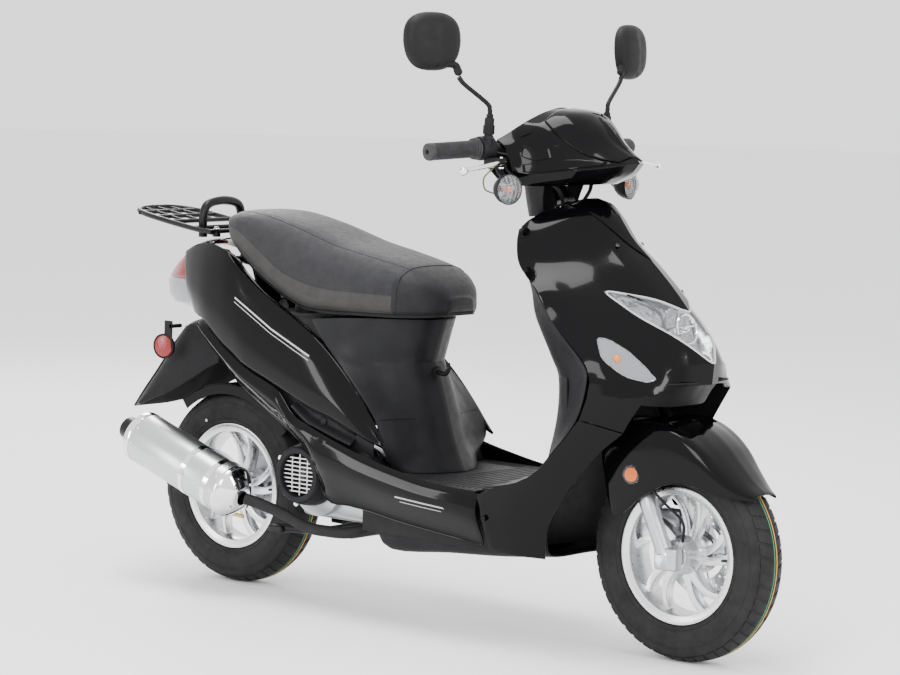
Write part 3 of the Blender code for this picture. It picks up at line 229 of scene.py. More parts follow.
def lens_plastic(name, colour, rough=.12, transmission=.35, painted_glow=0.0):
    """Deep-coloured moulded lens with a faint facet pattern; a glow strength above zero makes it glow
    faintly, a painted glow rather than a lit lamp.
    """
    mat = new_material(name, colour, rough)
    shader = shader_of(mat)
    shader.inputs["Transmission Weight"].default_value = transmission
    shader.inputs["Coat Weight"].default_value = .12
    shader.inputs["Coat Roughness"].default_value = .04
    # painted glow: the lens shines by itself though no lamp behind it is lit
    if painted_glow:
        shader.inputs["Emission Color"].default_value = (*colour, 1.0)
        shader.inputs["Emission Strength"].default_value = painted_glow
    bumped(mat, cells(mat, 330.0), .0004, .5)
    return mat


def tyre_rubber():
    """Dull tyre rubber."""
    mat = new_material("tyre_rubber", (.010, .010, .011), .7)
    shader_of(mat).inputs["Specular IOR Level"].default_value = .22
    vary_colour(mat, noise(mat, 22.0, 6.0), (.0060, .0060, .0065), (.0140, .0140, .0145))
    vary_roughness(mat, noise(mat, 80.0), .55, .78)
    bumped(mat, noise(mat, 900.0, 4.0), .00015, .6)
    return mat


def grip_rubber():
    """Soft grip rubber."""
    mat = new_material("rubber", (.020, .020, .022), .62)
    vary_colour(mat, noise(mat, 60.0, 4.0), (.0090, .0090, .0100), (.0200, .0200, .0220))
    bumped(mat, noise(mat, 1400.0, 2.0), .0001, .6)
    return mat


def seat_vinyl(name, dark, light, weave):
    """Grained vinyl; weave gives the anti-slip top its fine diagonal texture."""
    mat = new_material(name, dark, .55)
    shader = shader_of(mat)
    shader.inputs["Sheen Weight"].default_value = .05
    shader.inputs["Specular IOR Level"].default_value = .20
    shader.inputs["Sheen Roughness"].default_value = .5
    vary_colour(mat, noise(mat, 30.0, 6.0, (1, 1, 1), .65), dark, light)
    vary_roughness(mat, noise(mat, 90.0, 3.0), .44, .62)
    grain = bumped(mat, cells(mat, 620.0), .00030, .8)
    if weave:
        wave = node(mat, "ShaderNodeTexWave", Scale=190.0, Distortion=.4)
        wave.bands_direction = "DIAGONAL"
        link(mat, coordinates(mat), wave.inputs["Vector"])
        bumped(mat, wave.outputs["Fac"], .00028, .7, grain)
    return mat


MAT = {
    "gloss_black": gloss_black(),
    "satin_plastic": satin_black("satin_plastic", (.0085, .0085, .0095)),
    "floor_mat": satin_black("floor_mat", (.0080, .0080, .0088), 520.0, (.50, .66), .00022),
    "flap_plastic": satin_black("flap_plastic", (.0065, .0065, .0072), 700.0, (.50, .64)),
    "pillar_plastic": satin_black("pillar_plastic", (.0100, .0100, .0112), 1000.0, (.34, .50)),
    "black_paint": powder_coat("black_paint", (.0025, .0025, .0030), .30),
    "matte_black": powder_coat("matte_black", (.0035, .0035, .0040), .55),
    "rubber": grip_rubber(),
    "tyre_rubber": tyre_rubber(),
    "wheel_alloy": metal("wheel_alloy", (.74, .745, .76), (.24, .34), (1, 1, 1), 260.0, .00004, .93),
    "cast_alloy": metal("cast_alloy", (.55, .56, .58), (.34, .52), (1, 1, 1), 340.0, .00018, .80),
    "chrome": metal("chrome", (.88, .88, .90), (.05, .12), (1, 1, 1), 60.0, .00001, .96),
    "brushed_steel": metal("brushed_steel", (.66, .66, .67), (.22, .40), (60, 1, 1), 30.0, .00003, .80),
    "disc_steel": metal("disc_steel", (.58, .58, .60), (.20, .34), (1, 1, 1), 420.0, .00002, .85),
    "muffler_skin": metal("muffler_skin", (.62, .63, .64), (.24, .38), (1, 34, 34), 46.0, .00003, .84),
    "dark_steel": metal("dark_steel", (.10, .10, .105), (.35, .55), (1, 1, 1), 240.0, .00008, .7),
    "heat_paint": powder_coat("heat_paint", (.010, .010, .010), .62),
    "fuel_plastic": satin_black("fuel_plastic", (.055, .055, .055), 500.0),
    "vinyl": seat_vinyl("vinyl", (.0105, .0105, .0125), (.0190, .0190, .0220), True),
    "vinyl_band": seat_vinyl("vinyl_band", (.0230, .0215, .0205), (.0360, .0335, .0320), False),
    "vinyl_smooth": seat_vinyl("vinyl_smooth", (.0060, .0060, .0070), (.0110, .0110, .0125), False),
    "thread": powder_coat("thread", (.030, .030, .032), .75),
    "clear_lens": clear_plastic("clear_lens", (.40, .42, .44), .10),
    "lens_ribs": clear_plastic("lens_ribs", (.24, .25, .27), .72, .14),
    "reflector": metal("reflector", (.50, .51, .53), (.06, .22), (1, 1, 1), 110.0, .0006, .30),
    # amber, amber_bulb and red_lens glow faintly: painted glow on reflectors, unlit lamps, the speedometer
    # needle and the start button
    "amber": lens_plastic("amber", (.50, .090, .002), .20, 0, .04),
    "amber_bulb": lens_plastic("amber_bulb", (.70, .20, .010), .10, .10, .12),
    "red_lens": lens_plastic("red_lens", (.20, .002, .002), .16, 0, .03),
    "mirror_glass": metal("mirror_glass", (.80, .82, .84), (.02, .03), (1, 1, 1), 30.0, .0, .99),
    "white_paint": powder_coat("white_paint", (.74, .74, .74), .40),
    "silver_paint": powder_coat("silver_paint", (.42, .42, .43), .35),
    "brass_zinc": metal("brass_zinc", (.62, .46, .20), (.25, .40), (1, 1, 1), 200.0, .00004, .85),
    "tan_line": powder_coat("tan_line", (.55, .26, .06), .70),
    "green_line": powder_coat("green_line", (.03, .22, .10), .70),
    "pale_dot": powder_coat("pale_dot", (.55, .55, .50), .60),
    "olive_wire": powder_coat("olive_wire", (.10, .10, .03), .50),
}


# ---------------------------------------------------------------- mesh helpers
def mesh_object(name, mesh):
    """Object in the scene for a mesh."""
    obj = bpy.data.objects.new(name, mesh)
    bpy.context.scene.collection.objects.link(obj)
    return obj


def from_bmesh(name, work, weld=1e-5):
    """Object from a bmesh, welded and with its normals facing out."""
    bmesh.ops.remove_doubles(work, verts=work.verts, dist=weld)
    bmesh.ops.recalc_face_normals(work, faces=work.faces)
    mesh = bpy.data.meshes.new(name)
    work.to_mesh(mesh)
    work.free()
    return mesh_object(name, mesh)


def applied(obj):
    """The object with its modifiers and placement written into its mesh."""
    bpy.context.view_layer.update()
    graph = bpy.context.evaluated_depsgraph_get()
    mesh = bpy.data.meshes.new_from_object(obj.evaluated_get(graph), depsgraph=graph)
    mesh.transform(obj.matrix_world)
    fresh = mesh_object(obj.name + "_made", mesh)
    bpy.data.objects.remove(obj, do_unlink=True)
    return fresh


def merged(*objects):
    """Several objects' meshes in one object, without cutting them."""
    work = bmesh.new()
    for obj in objects:
        part = obj.data.copy()
        part.transform(obj.matrix_world)
        work.from_mesh(part)
        bpy.data.meshes.remove(part)
    mesh = bpy.data.meshes.new(objects[0].name)
    work.to_mesh(mesh)
    work.free()
    for obj in objects:
        bpy.data.objects.remove(obj, do_unlink=True)
    return mesh_object("merged", mesh)


def boolean(base, others, operation):
    """Exact boolean of base with each of the others, which are used up."""
    for other in others:
        step = base.modifiers.new("step", "BOOLEAN")
        step.operation = operation
        step.solver = "EXACT"
        step.object = other
    result = applied(base)
    for other in others:
        bpy.data.objects.remove(other, do_unlink=True)
    return result


def cut(base, *others):
    """Base less the others."""
    return boolean(base, others, "DIFFERENCE")


def common(base, *others):
    """What base shares with the others."""
    return boolean(base, others, "INTERSECT")


def fused(base, *others):
    """Base joined to the others as one solid."""
    return boolean(base, others, "UNION")


def bevelled(obj, width, segments=2, angle=35.0):
    """Object with its sharp edges eased."""
    edge = obj.modifiers.new("edge", "BEVEL")
    edge.width = width
    edge.segments = segments
    edge.limit_method = "ANGLE"
    edge.angle_limit = math.radians(angle)
    edge.harden_normals = False
    edge.use_clamp_overlap = True
    return applied(obj)


def piece(name, obj, mat, body, replaces=(), angle=32.0):
    """Final piece: named, shaded, shifted to the CAD origin and riding on its body."""
    obj = applied(obj)
    obj.name = name
    mesh = obj.data
    mesh.name = name
    mesh.transform(TO_FRAME)
    mesh.materials.clear()
    mesh.materials.append(MAT[mat])
    for polygon in mesh.polygons:
        polygon.use_smooth = True
        polygon.material_index = 0
    mesh.set_sharp_from_angle(angle=math.radians(angle))
    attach(obj, body)
    if replaces:
        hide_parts(*([replaces] if isinstance(replaces, str) else replaces))
    return obj


def rod(start, end, radius, sides=24, radius_end=None, edge=0.0):
    """Round bar or cone between two points, with its rims eased by edge."""
    start, end = Vector(start), Vector(end)
    far = radius if radius_end is None else radius_end
    length = (end - start).length
    edge = min(edge, radius * .5, far * .5, length * .4)
    if edge:
        profile = [(0, 0), (radius - edge, 0), (radius - .3 * edge, .3 * edge), (radius, edge),
                   (far, length - edge), (far - .3 * edge, length - .3 * edge),
                   (far - edge, length), (0, length)]
    else:
        profile = [(0, 0), (radius, 0), (far, length), (0, length)]
    return turned(profile, sides, about(start, end - start))


def block(low, high, edge=0.0, turn=None, segments=2):
    """Box between two corners, with eased edges, turned about its centre."""
    low, high = Vector(low), Vector(high)
    size = high - low
    work = bmesh.new()
    bmesh.ops.create_cube(work, size=1.0)
    bmesh.ops.scale(work, vec=size, verts=work.verts)
    if edge:
        bmesh.ops.bevel(work, geom=work.edges[:], offset=edge, segments=segments,
                        affect="EDGES", profile=.5)
    if turn is not None:
        bmesh.ops.transform(work, matrix=turn, verts=work.verts)
    bmesh.ops.translate(work, vec=(low + high) / 2, verts=work.verts)
    return from_bmesh("block", work)


def ball(centre, radius, sides=20):
    """Round ball."""
    work = bmesh.new()
    bmesh.ops.create_uvsphere(work, u_segments=sides, v_segments=sides // 2, radius=radius)
    bmesh.ops.translate(work, vec=Vector(centre), verts=work.verts)
    return from_bmesh("ball", work)


def spline(points, steps, creases=()):
    """Points on a smooth curve through the given ones; a crease breaks the tangent."""
    points = [Vector(p) for p in points]
    last = len(points) - 1
    out = [points[0].copy()]
    for i in range(last):
        start, end = points[i], points[i + 1]
        chord = end - start
        tangent_in = chord if i == 0 or i in creases else (end - points[i - 1]) / 2
        tangent_out = chord if i + 1 == last or i + 1 in creases else (points[i + 2] - start) / 2
        for k in range(1, steps + 1):
            t = k / steps
            t2, t3 = t * t, t * t * t
            out.append(start * (2 * t3 - 3 * t2 + 1) + tangent_in * (t3 - 2 * t2 + t)
                       + end * (3 * t2 - 2 * t3) + tangent_out * (t3 - t2))
    return out


def surface(rows, across=4, along=4, crease_cols=(), crease_rows=()):
    """Refine rows of points into a smooth grid."""
    wide = [spline(row, across, crease_cols) for row in rows]
    columns = [spline([row[j] for row in wide], along, crease_rows) for j in range(len(wide[0]))]
    return [[column[i] for column in columns] for i in range(len(columns[0]))]


def tube(route, radius, smooth=6, sides=12, cyclic=False, taper=None):
    """Round tube along a smooth route, closed at its ends."""
    points = spline(route, smooth) if smooth > 1 else [Vector(p) for p in route]
    curve = bpy.data.curves.new("tube", "CURVE")
    curve.dimensions = "3D"
    curve.bevel_depth = radius
    curve.bevel_resolution = max(1, sides // 4 - 1)
    curve.use_fill_caps = True
    line = curve.splines.new("POLY")
    line.points.add(len(points) - 1)
    for k, (target, point) in enumerate(zip(line.points, points)):
        target.co = (*point, 1.0)
        if taper:
            target.radius = taper(k / (len(points) - 1))
    line.use_cyclic_u = cyclic
    return applied(mesh_object("tube", curve))


def flat_curve(outline, half_depth):
    """Filled flat outline with depth."""
    curve = bpy.data.curves.new("slab", "CURVE")
    curve.dimensions = "2D"
    curve.fill_mode = "BOTH"
    curve.extrude = half_depth
    line = curve.splines.new("POLY")
    line.points.add(len(outline) - 1)
    for target, (u, v) in zip(line.points, outline):
        target.co = (u, v, 0.0, 1.0)
    line.use_cyclic_u = True
    return mesh_object("slab", curve)


def slab(outline, low, high, axes="XZ"):
    """Flat outline extruded along the axis it doesn't name, from low to high."""
    flat = flat_curve(outline, abs(high - low) / 2)
    middle = (low + high) / 2
    if axes == "XZ":
        flat.matrix_world = Matrix.Translation((0, middle, 0)) @ Matrix.Rotation(math.pi / 2, 4, "X")
    elif axes == "YZ":
        turn = Matrix(((0, 0, 1), (1, 0, 0), (0, 1, 0))).to_4x4()
        flat.matrix_world = Matrix.Translation((middle, 0, 0)) @ turn
    else:
        flat.matrix_world = Matrix.Translation((0, 0, middle))
    made = applied(flat)
    work = bmesh.new()
    work.from_mesh(made.data)
    bpy.data.objects.remove(made, do_unlink=True)
    return from_bmesh("slab", work)


def turned(profile, steps, place):
    """Profile of (radius, height) turned about local Z, then placed."""
    work = bmesh.new()
    rings = []
    for r, h in profile:
        if r == 0.0:
            rings.append([work.verts.new((0, 0, h))])
        else:
            rings.append([work.verts.new((r * math.cos(2 * math.pi * k / steps),
                                          r * math.sin(2 * math.pi * k / steps), h))
                          for k in range(steps)])
    closed = profile[0][0] > 0 and profile[-1][0] > 0
    pairs = list(zip(rings, rings[1:])) + ([(rings[-1], rings[0])] if closed else [])
    for lower, upper in pairs:
        for k in range(steps):
            n = (k + 1) % steps
            corners = [lower[k % len(lower)], lower[n % len(lower)],
                       upper[n % len(upper)], upper[k % len(upper)]]
            unique = []
            for v in corners:
                if v not in unique:
                    unique.append(v)
            if len(unique) > 2:
                work.faces.new(unique)
    bmesh.ops.transform(work, matrix=place, verts=work.verts)
    return from_bmesh("turned", work)


def about_y(x, y, z):
    """Placement whose local Z is the object's +Y."""
    return Matrix.Translation((x, y, z)) @ Matrix.Rotation(-math.pi / 2, 4, "X")


def about(point, direction):
    """Placement whose local Z runs along a direction."""
    turn = Vector(direction).to_track_quat("Z", "Y").to_matrix().to_4x4()
    return Matrix.Translation(point) @ turn


def grid_faces(work, grid):
    """Faces between neighbouring rows of a grid."""
    verts = [[work.verts.new(p) for p in row] for row in grid]
    for upper, lower in zip(verts, verts[1:]):
        for j in range(len(upper) - 1):
            corners = [upper[j], upper[j + 1], lower[j + 1], lower[j]]
            work.faces.new(corners)


def sheet_mesh(name, grids, outward, mirror=False):
    """Single-thickness surface from point grids, facing a direction."""
    work = bmesh.new()
    for grid in grids:
        grid_faces(work, grid)
        if mirror:
            grid_faces(work, [[Vector(p) * LEFT for p in row] for row in grid])
    bmesh.ops.remove_doubles(work, verts=work.verts, dist=2e-5)
    bmesh.ops.recalc_face_normals(work, faces=work.faces)
    facing = sum((f.normal * f.calc_area() for f in work.faces), Vector())
    if facing.dot(Vector(outward)) < 0:
        bmesh.ops.reverse_faces(work, faces=work.faces)
    mesh = bpy.data.meshes.new(name)
    work.to_mesh(mesh)
    work.free()
    return mesh_object(name, mesh)


def thickened(obj, thickness, edge=0.0):
    """Sheet given a wall."""
    wall = obj.modifiers.new("wall", "SOLIDIFY")
    wall.thickness = thickness
    wall.offset = -1.0
    wall.use_even_offset = True
    wall.thickness_clamp = 1.0
    made = applied(obj)
    return bevelled(made, edge, 2, 55.0) if edge else made


def skin(name, grids, outward, thickness=.003, mirror=True, edge=.0009):
    """Moulded shell with a rolled edge."""
    return thickened(sheet_mesh(name, grids, outward, mirror), thickness, edge)


def loft(sections, capped=True):
    """Closed solid through rings of equal length, with a fan at each end."""
    work = bmesh.new()
    rings = [[work.verts.new(p) for p in ring] for ring in sections]
    count = len(rings[0])
    for near, far in zip(rings, rings[1:]):
        for j in range(count):
            k = (j + 1) % count
            work.faces.new((near[j], near[k], far[k], far[j]))
    for ring in (rings[0], rings[-1]) if capped else ():
        middle = work.verts.new(sum((v.co for v in ring), Vector()) / count)
        for j in range(count):
            work.faces.new((ring[j], ring[(j + 1) % count], middle))
    return from_bmesh("loft", work)


def arc(cx, cz, radius, start, end, count):
    """Points on an arc, angles in degrees."""
    out = []
    for k in range(count + 1):
        a = math.radians(start + (end - start) * k / count)
        out.append((cx + radius * math.cos(a), cz + radius * math.sin(a)))
    return out


def bolt(point, direction, radius, tall, washer=True):
    """Hexagon bolt head, with a washer under it."""
    point, direction = Vector(point), Vector(direction).normalized()
    head = turned([(0, 0), (radius, 0), (radius, tall * .85), (radius * .86, tall), (0, tall)], 6,
                  about(point + direction * (.0012 if washer else 0), direction))
    if not washer:
        return head
    plate = turned([(0, 0), (radius * 1.45, 0), (radius * 1.5, .0006), (radius * 1.4, .0013), (0, .0013)],
                   24, about(point, direction))
    return merged(head, plate)


def cross_screw(point, direction, radius):
    """Pan-head screw with a cross recess."""
    point, direction = Vector(point), Vector(direction).normalized()
    place = about(point, direction)
    head = turned([(0, -.001), (radius, -.001), (radius, radius * .25), (radius * .75, radius * .55),
                   (0, radius * .62)], 20, place)
    size = radius * .16
    cross = [block((-radius * .62, -size, radius * .25), (radius * .62, size, radius), 0),
             block((-size, -radius * .62, radius * .25), (size, radius * .62, radius), 0)]
    for bar in cross:
        bar.data.transform(place)
    return cut(head, *cross)


# ---------------------------------------------------------------- stage, light and camera
def camera():
    """The solved view: a long lens from ahead and to the right of the machine."""
    azimuth, elevation, roll = (math.radians(a) for a in (40.6735, 5.6908, 1.5528))
    distance, focal_mm = 7.3161, 138.64
    target = Vector((-.6427 + FRONT_AXLE_X, 0, .5963))
    back = Vector((math.sin(azimuth) * math.cos(elevation),
                   -math.cos(azimuth) * math.cos(elevation), math.sin(elevation)))
    level_right = (-back).cross(Vector((0, 0, 1))).normalized()
    level_up = level_right.cross(-back)
    right = math.cos(roll) * level_right + math.sin(roll) * level_up
    up = -math.sin(roll) * level_right + math.cos(roll) * level_up
    data = bpy.data.cameras.new("camera")
    data.lens = focal_mm
    data.sensor_width = 36.0
    data.clip_end = 60.0
    eye = bpy.data.objects.new("camera", data)
    turn = Matrix((right, up, back)).transposed()
    eye.matrix_world = Matrix.Translation(target + back * distance) @ turn.to_4x4()
    bpy.context.scene.collection.objects.link(eye)
    bpy.context.scene.camera = eye


def stage():
    """Pale floor and even white surroundings."""
    floor_mat = new_material("floor", (.93, .93, .93), .75)
    vary_roughness(floor_mat, noise(floor_mat, 2.0), .7, .85)
    work = bmesh.new()
    bmesh.ops.create_circle(work, cap_ends=True, segments=96, radius=24.0)
    floor = from_bmesh("floor", work)
    floor.data.materials.append(floor_mat)
    world = bpy.data.worlds.new("studio")
    world.use_nodes = True
    world.node_tree.nodes["Background"].inputs["Color"].default_value = (1.0, 1.0, 1.0, 1.0)
    world.node_tree.nodes["Background"].inputs["Strength"].default_value = 1.75
    bpy.context.scene.world = world


def soft_box(name, at, aim, size, power, tall=None):
    """Large soft lamp aimed at a point."""
    data = bpy.data.lights.new(name, "AREA")
    data.shape = "RECTANGLE"
    data.size = size
    data.size_y = tall or size
    data.energy = power
    lamp = bpy.data.objects.new(name, data)
    lamp.location = at
    lamp.rotation_mode = "QUATERNION"
    lamp.rotation_quaternion = (Vector(aim) - Vector(at)).to_track_quat("-Z", "Y")
    bpy.context.scene.collection.objects.link(lamp)


def lights():
    """Five soft boxes round the machine."""
    soft_box("overhead", (-.3, -.4, 4.2), (0, 0, .5), 2.6, 150, 1.4)
    soft_box("key_side", (1.6, -4.2, 2.6), (0, 0, .6), 1.3, 110, 2.2)
    soft_box("front_strip", (4.4, -.6, 2.2), (.3, 0, .6), .5, 75, 2.4)
    soft_box("rear_rim", (-3.6, 2.4, 2.8), (-.3, 0, .8), 1.0, 80, 2.0)
    soft_box("low_side", (-2.6, -3.4, 1.1), (-.4, 0, .5), .4, 30, 1.8)


camera()
stage()
lights()


# ---------------------------------------------------------------- front covers
APRON_ROWS = [
    [(-.262, 0, .912), (-.278, -.035, .908), (-.303, -.072, .893), (-.325, -.100, .880),
     (-.335, -.125, .868), (-.338, -.148, .851)],
    [(-.220, 0, .897), (-.238, -.040, .890), (-.274, -.085, .868), (-.301, -.120, .850),
     (-.320, -.142, .838), (-.338, -.156, .826)],
    [(-.163, 0, .834), (-.184, -.045, .828), (-.229, -.095, .808), (-.264, -.135, .793),
     (-.291, -.158, .786), (-.318, -.170, .780)],
    [(-.107, 0, .790), (-.129, -.050, .783), (-.173, -.100, .762), (-.207, -.145, .748),
     (-.229, -.175, .740), (-.247, -.196, .733)],
    [(-.053, 0, .741), (-.074, -.050, .735), (-.118, -.105, .714), (-.152, -.150, .698),
     (-.179, -.180, .688), (-.207, -.199, .678)],
    [(-.010, 0, .695), (-.029, -.050, .690), (-.073, -.110, .668), (-.108, -.155, .650),
     (-.131, -.182, .642), (-.155, -.200, .633)],
    [(.027, 0, .649), (.008, -.050, .645), (-.032, -.110, .627), (-.067, -.155, .612),
     (-.091, -.182, .605), (-.117, -.200, .597)],
    [(.050, 0, .605), (.032, -.050, .602), (-.003, -.110, .590), (-.040, -.152, .578),
     (-.072, -.182, .572), (-.106, -.200, .566)],
    [(.046, 0, .562), (.030, -.050, .560), (.010, -.100, .553), (-.010, -.140, .542),
     (-.060, -.178, .535), (-.112, -.200, .532)],
]
APRON_SIDE_ROWS = [
    [(-.010, -.140, .542), (-.060, -.178, .535), (-.112, -.200, .532)],
    [(-.045, -.145, .490), (-.085, -.177, .489), (-.130, -.199, .489)],
    [(-.110, -.155, .420), (-.150, -.183, .421), (-.188, -.199, .421)],
    [(-.165, -.160, .358), (-.215, -.187, .360), (-.262, -.199, .356)],
    [(-.207, -.160, .305), (-.290, -.190, .308), (-.384, -.199, .311)],
    [(-.238, -.155, .250), (-.305, -.182, .252), (-.379, -.193, .255)],
    [(-.249, -.145, .188), (-.305, -.165, .190), (-.371, -.175, .195)],
]
HEADLIGHT_OUTLINE = [(0.0, .700), (-.050, .727), (-.112, .742), (-.092, .690), (-.045, .640),
                     (0.0, .597)]
SIGNAL_OUTLINE = [(-.121, .652), (-.100, .648), (-.060, .627), (-.022, .595), (-.004, .574),
                  (-.014, .568), (-.050, .578), (-.095, .612)]


def grown(outline, amount):
    """Outline moved outwards from its middle by a fixed amount."""
    middle = Vector((sum(p[0] for p in outline), sum(p[1] for p in outline))) / len(outline)
    out = []
    for point in outline:
        away = Vector(point) - middle
        out.append(tuple(Vector(point) + away.normalized() * amount))
    return out


def rounded(outline, radius, steps=4):
    """Closed 2D outline with its corners rounded."""
    out = []
    count = len(outline)
    for i, point in enumerate(outline):
        here = Vector(point)
        before = Vector(outline[i - 1]) - here
        after = Vector(outline[(i + 1) % count]) - here
        reach = min(radius, before.length * .45, after.length * .45)
        start = here + before.normalized() * reach
        end = here + after.normalized() * reach
        for k in range(steps + 1):
            t = k / steps
            mixed = start * (1 - t) ** 2 + here * 2 * t * (1 - t) + end * t * t
            out.append((mixed.x, mixed.y))
    return out


def apron_grids(across=5, along=5):
    """Smooth grids of the apron's front and side."""
    upper = surface(APRON_ROWS, across, along, crease_cols=(2,), crease_rows=(7,))
    side = surface(APRON_SIDE_ROWS[:2] + [APRON_SEAM], across, along)
    return upper, side


APRON_SEAM = [(-.060, -.1460, .4650), (-.093, -.1775, .4780), (-.1312, -.1990, .4885)]


class Target:
    """A surface that points can be dropped onto along X, Y or Z."""

    def __init__(self, obj):
        from mathutils.bvhtree import BVHTree
        work = bmesh.new()
        work.from_mesh(obj.data)
        self.tree = BVHTree.FromBMesh(work)
        work.free()
        bpy.data.objects.remove(obj, do_unlink=True)

    def along(self, start, direction):
        hit, normal, _, _ = self.tree.ray_cast(Vector(start), Vector(direction))
        return hit, normal

    def nearest(self, point):
        hit, normal, _, _ = self.tree.find_nearest(Vector(point))
        return hit, normal


def face_of(obj):
    """Target made from a copy of an object, which stays usable."""
    return Target(bpy.data.objects.new("probe", obj.data.copy()))


def painted_stripe(name, face, side, edges):
    """Thin stripe laid on a side cover between two lines of (x, z) points."""
    grid = []
    for edge in edges:
        row = []
        for x, z in edge:
            hit, _ = face.along((x, side * OUTSIDE_Y, z), (0, -side, 0))
            if hit is not None:
                row.append(hit + Vector((0, side * STRIPE_LIFT, 0)))
        grid.append(row)
    if len(grid[0]) == len(grid[1]) > 2:
        stripe = thickened(sheet_mesh("stripe", [grid], (0, side, 0)), STRIPE_THICK)
        piece(name, stripe, "silver_paint", "chassis")


def headlight_outline(margin):
    """Headlight outline seen from ahead, grown by a margin."""
    half = grown(HEADLIGHT_OUTLINE[1:5], margin)
    half = [(0.0, .700 + margin)] + half + [(0.0, .597 - margin)]
    outline = half + [(-y, z) for y, z in reversed(half[1:-1])]
    return rounded(outline, .016, 4)


def headlight_prism(margin):
    """Solid that cuts the headlight's opening."""
    return slab(headlight_outline(margin), -.17, .12, axes="YZ")


def signal_prism(margin, side):
    """Solid that cuts one signal's opening."""
    outline = rounded(grown(SIGNAL_OUTLINE, margin), .014, 3)
    return slab(outline, *sorted((side * .245, side * .108)), axes="XZ")


def draped_strip(target, outline, direction, origin, width, tall, sink=0.0):
    """Thin raised band that follows a closed outline laid on a surface.

    origin gives the ray start for an outline point; the band stands tall over the surface.
    """
    work = bmesh.new()
    rings = []
    for k, point in enumerate(outline):
        start = origin(point)
        hit, normal = target.along(start, direction)
        if hit is None:
            hit, normal = target.nearest(start)
        before = origin(outline[k - 1])
        after = origin(outline[(k + 1) % len(outline)])
        along = (after - before).normalized()
        if normal.dot(Vector(direction)) > 0:
            normal = -normal
        across = along.cross(normal).normalized()
        half = width / 2
        rings.append([work.verts.new(hit + across * a + normal * b) for a, b in (
            (-half, -sink), (-half, tall * .6), (-half * .5, tall), (half * .5, tall),
            (half, tall * .6), (half, -sink))])
    count = len(rings)
    for k in range(count):
        here, there = rings[k], rings[(k + 1) % count]
        for j in range(6):
            n = (j + 1) % 6
            work.faces.new((here[j], here[n], there[n], there[j]))
    return from_bmesh("strip", work)


def front_apron():
    """Apron, headlight cover, signals and trim."""
    grids = apron_grids()
    shell = skin("apron", grids, (1, 0, .3), .003, True, 0)
    shell = cut(shell, headlight_prism(.0012), signal_prism(.0012, 1), signal_prism(.0012, -1))
    shell = bevelled(shell, .0008, 2, 50)
    piece("apron_shell", shell, "gloss_black", "chassis", "front_apron", 24)
    lens = common(skin("lens", grids, (1, 0, .3), .0022, True, 0), headlight_prism(0))
    piece("headlight_cover", lens, "clear_lens", "chassis", "headlight_lens", 24)
    face = Target(sheet_mesh("face", grids, (1, 0, .3), True))
    headlight_insides(face)
    apron_signals(grids, face)
    apron_trim(face)


def headlight_insides(face):
    """Reflector bowl, bulb and shield behind the clear cover."""
    rows = []
    bulb = Vector((-.045, 0, .662))
    for i in range(25):
        v = i / 24
        z = .7425 - v * .141
        if z > .690:
            half = .108 - .016 * (.742 - z) / .052
        elif z > .640:
            half = .092 - .047 * (.690 - z) / .050
        else:
            half = .045 * (z - .597) / .043 + .002
        half = max(half - .001, .003)
        row = []
        for j in range(37):
            u = -1 + 2 * j / 36
            y = u * half
            hit, _ = face.along((.3, y, z), (-1, 0, 0))
            if hit is None:
                hit, _ = face.nearest((0, y, z))
            edge = min(1 - abs(u), v * 1.6, (1 - v) * 1.6, .35) / .35
            bowl_distance = math.hypot(y, (z - bulb.z) * 1.15)
            dish = max(0.0, 1 - (bowl_distance / .058) ** 2)
            flute = .0011 * math.cos(y / .0052 * math.pi) if bowl_distance > .054 else 0.0
            depth = .006 + .012 * edge ** .6 + .040 * dish * edge + flute
            row.append(hit + Vector((-depth, 0, -.25 * depth)))
        rows.append(row)
    bowl = thickened(sheet_mesh("bowl", [rows], (1, 0, .3)), .0012)
    piece("headlight_reflector", bowl, "reflector", "chassis", angle=18)
    ring = turned([(.028, -.003), (.031, -.003), (.033, .001), (.031, .004), (.028, .002)], 40,
                  about((-.022, 0, .6655), (1, 0, .28)))
    piece("headlight_bowl_ring", ring, "chrome", "chassis")
    cap = turned([(0, .030), (.006, .029), (.0085, .024), (.0088, .004), (.011, .001), (.011, -.004)],
                 24, about((-.046, 0, .660), (1, 0, .28)))
    piece("headlight_bulb", cap, "chrome", "chassis")
    shields = []
    for side in (-1, 1):
        shields.append(tube([(-.030, side * .029, .668), (-.012, side * .020, .672),
                             (-.006, 0, .674)], .0016, 5, 8))
    piece("headlight_bulb_shield", merged(*shields), "chrome", "chassis")
    brows = []
    for side in (-1, 1):
        brow = [(-.104, side * .090, .733), (-.074, side * .060, .716), (-.052, side * .047, .692),
                (-.040, side * .046, .664), (-.028, side * .036, .634)]
        brows.append(tube(brow, .0022, 5, 8))
    piece("headlight_divider", merged(*brows), "matte_black", "chassis")
    rim = draped_strip(face, headlight_outline(-.002), (-1, 0, 0),
                       lambda p: Vector((.3, p[0], p[1])), .0040, .0007, .0030)
    piece("headlight_rim", rim, "silver_paint", "chassis")


